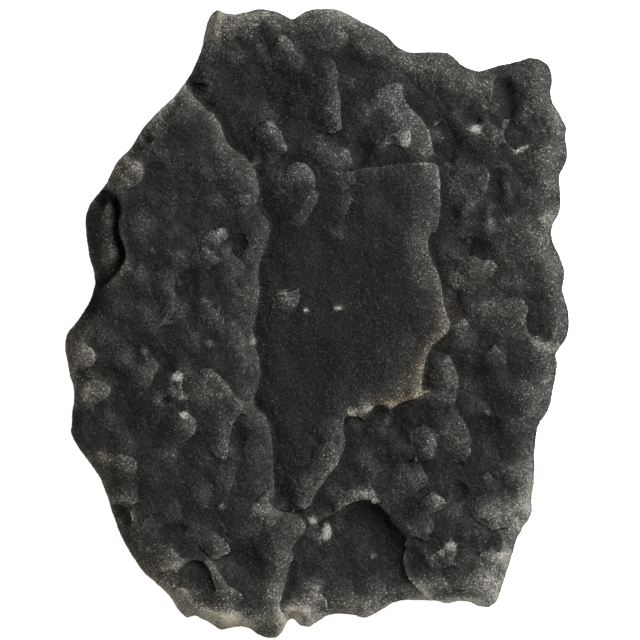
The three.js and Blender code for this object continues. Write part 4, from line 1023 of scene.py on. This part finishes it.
# The stone's points, finer than the solid's and with its folds rounded off
points, triangles = welded_mesh(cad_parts["druzy_stone"])
for _ in range(SPLITS):
    points, triangles = split_faces(points, triangles)
edges, _ = edges_of(triangles)
rim = np.maximum(rim_distance(points), 0)
above_back = points[:, 2] > BACK_TOP
points = smoothed(points, edges, SMOOTHING_ROUNDS, above_back)
points = smoothed(points, edges, SOFT_ROUNDS, above_back & inside_loop(points[:, :2], SOFT_RIM))

# Its lumpy crust, and its worn sides and back
normals = point_normals(points, triangles)
crust = smooth_step(normals[:, 2], *CRUST_END) * above_back
heights = crust_heights(points, edges, crust) * smooth_step(rim, 0, EDGE_WIDTH)
heights = worn(heights, (1 - crust) * above_back, points * SIDE_FLATNESS, SIDE_LAYERS)
heights = worn(heights, ~above_back, points, BACK_LAYERS)
points = points + heights[:, None] * normals

# Its tone with painted light and shade, its tints, and where its side and back are bare
normals = point_normals(points, triangles)
plan = points[:, :2]
measures = {
    "tone": tone_with_painted_light(points, normals, edges, rim),
    "warm": stone_warmth(plan, rim),
    "cool": marks(plan, COOL),
}
bare = {
    "side": (1 - smooth_step(normals[:, 2], *BARE_END)) * above_back,
    "back": (~above_back).astype(float),
}

# The stone as a piece, inside the solid's box
low, high = np.array(cad_low) / MM, np.array(cad_high) / MM
points = points + (above_back * rng.normal(0, ROUGHNESS_STEP, len(points)))[:, None] * normals
points = np.clip(points, low, high)
body = make_piece("chalcedony_stone", points, triangles, {**measures, **bare}, chalcedony_material())
unwrap(body, stone_map(points, triangles, above_back))
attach(body, "root")
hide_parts("druzy_stone")

# The crystals, in strips from left to right
crystal_material = druse_material()
under, shares, outward = crystal_seats(points, triangles, rim)
places = (points[under] * shares[:, :, None]).sum(axis=1)
crystals = np.clip(crystal_corners(places, outward), low, high)
stray = rng.uniform(-1, 1, size=CRYSTALS)
order = np.argsort(places[:, 0])
for name, part in zip(PIECES, np.array_split(order, len(PIECES))):
    grain = {label: (values[under[part]] * shares[part]).sum(axis=1) for label, values in measures.items()}
    grain["tone"] += stray[part] * np.interp(grain["tone"], STRAY_TONES, CRYSTAL_TONE)
    grain = {label: np.repeat(values, CRYSTAL_CORNERS) for label, values in grain.items()}
    corners = crystals[part].reshape(-1, 3)
    faces = (np.arange(len(part))[:, None, None] * CRYSTAL_CORNERS + CRYSTAL_FACES).reshape(-1, 3)
    piece = make_piece(name, corners, faces, grain, crystal_material)
    unwrap(piece, fitted(corners[faces.ravel(), :2], 0, 1))
    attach(piece, "root")

# The studio
floor()
area_light("key", KEY_TURN, KEY_RISE, KEY_SIZE, KEY_POWER)
area_light("fill", FILL_TURN, FILL_RISE, FILL_SIZE, FILL_POWER)
sky()
camera()

low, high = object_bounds()
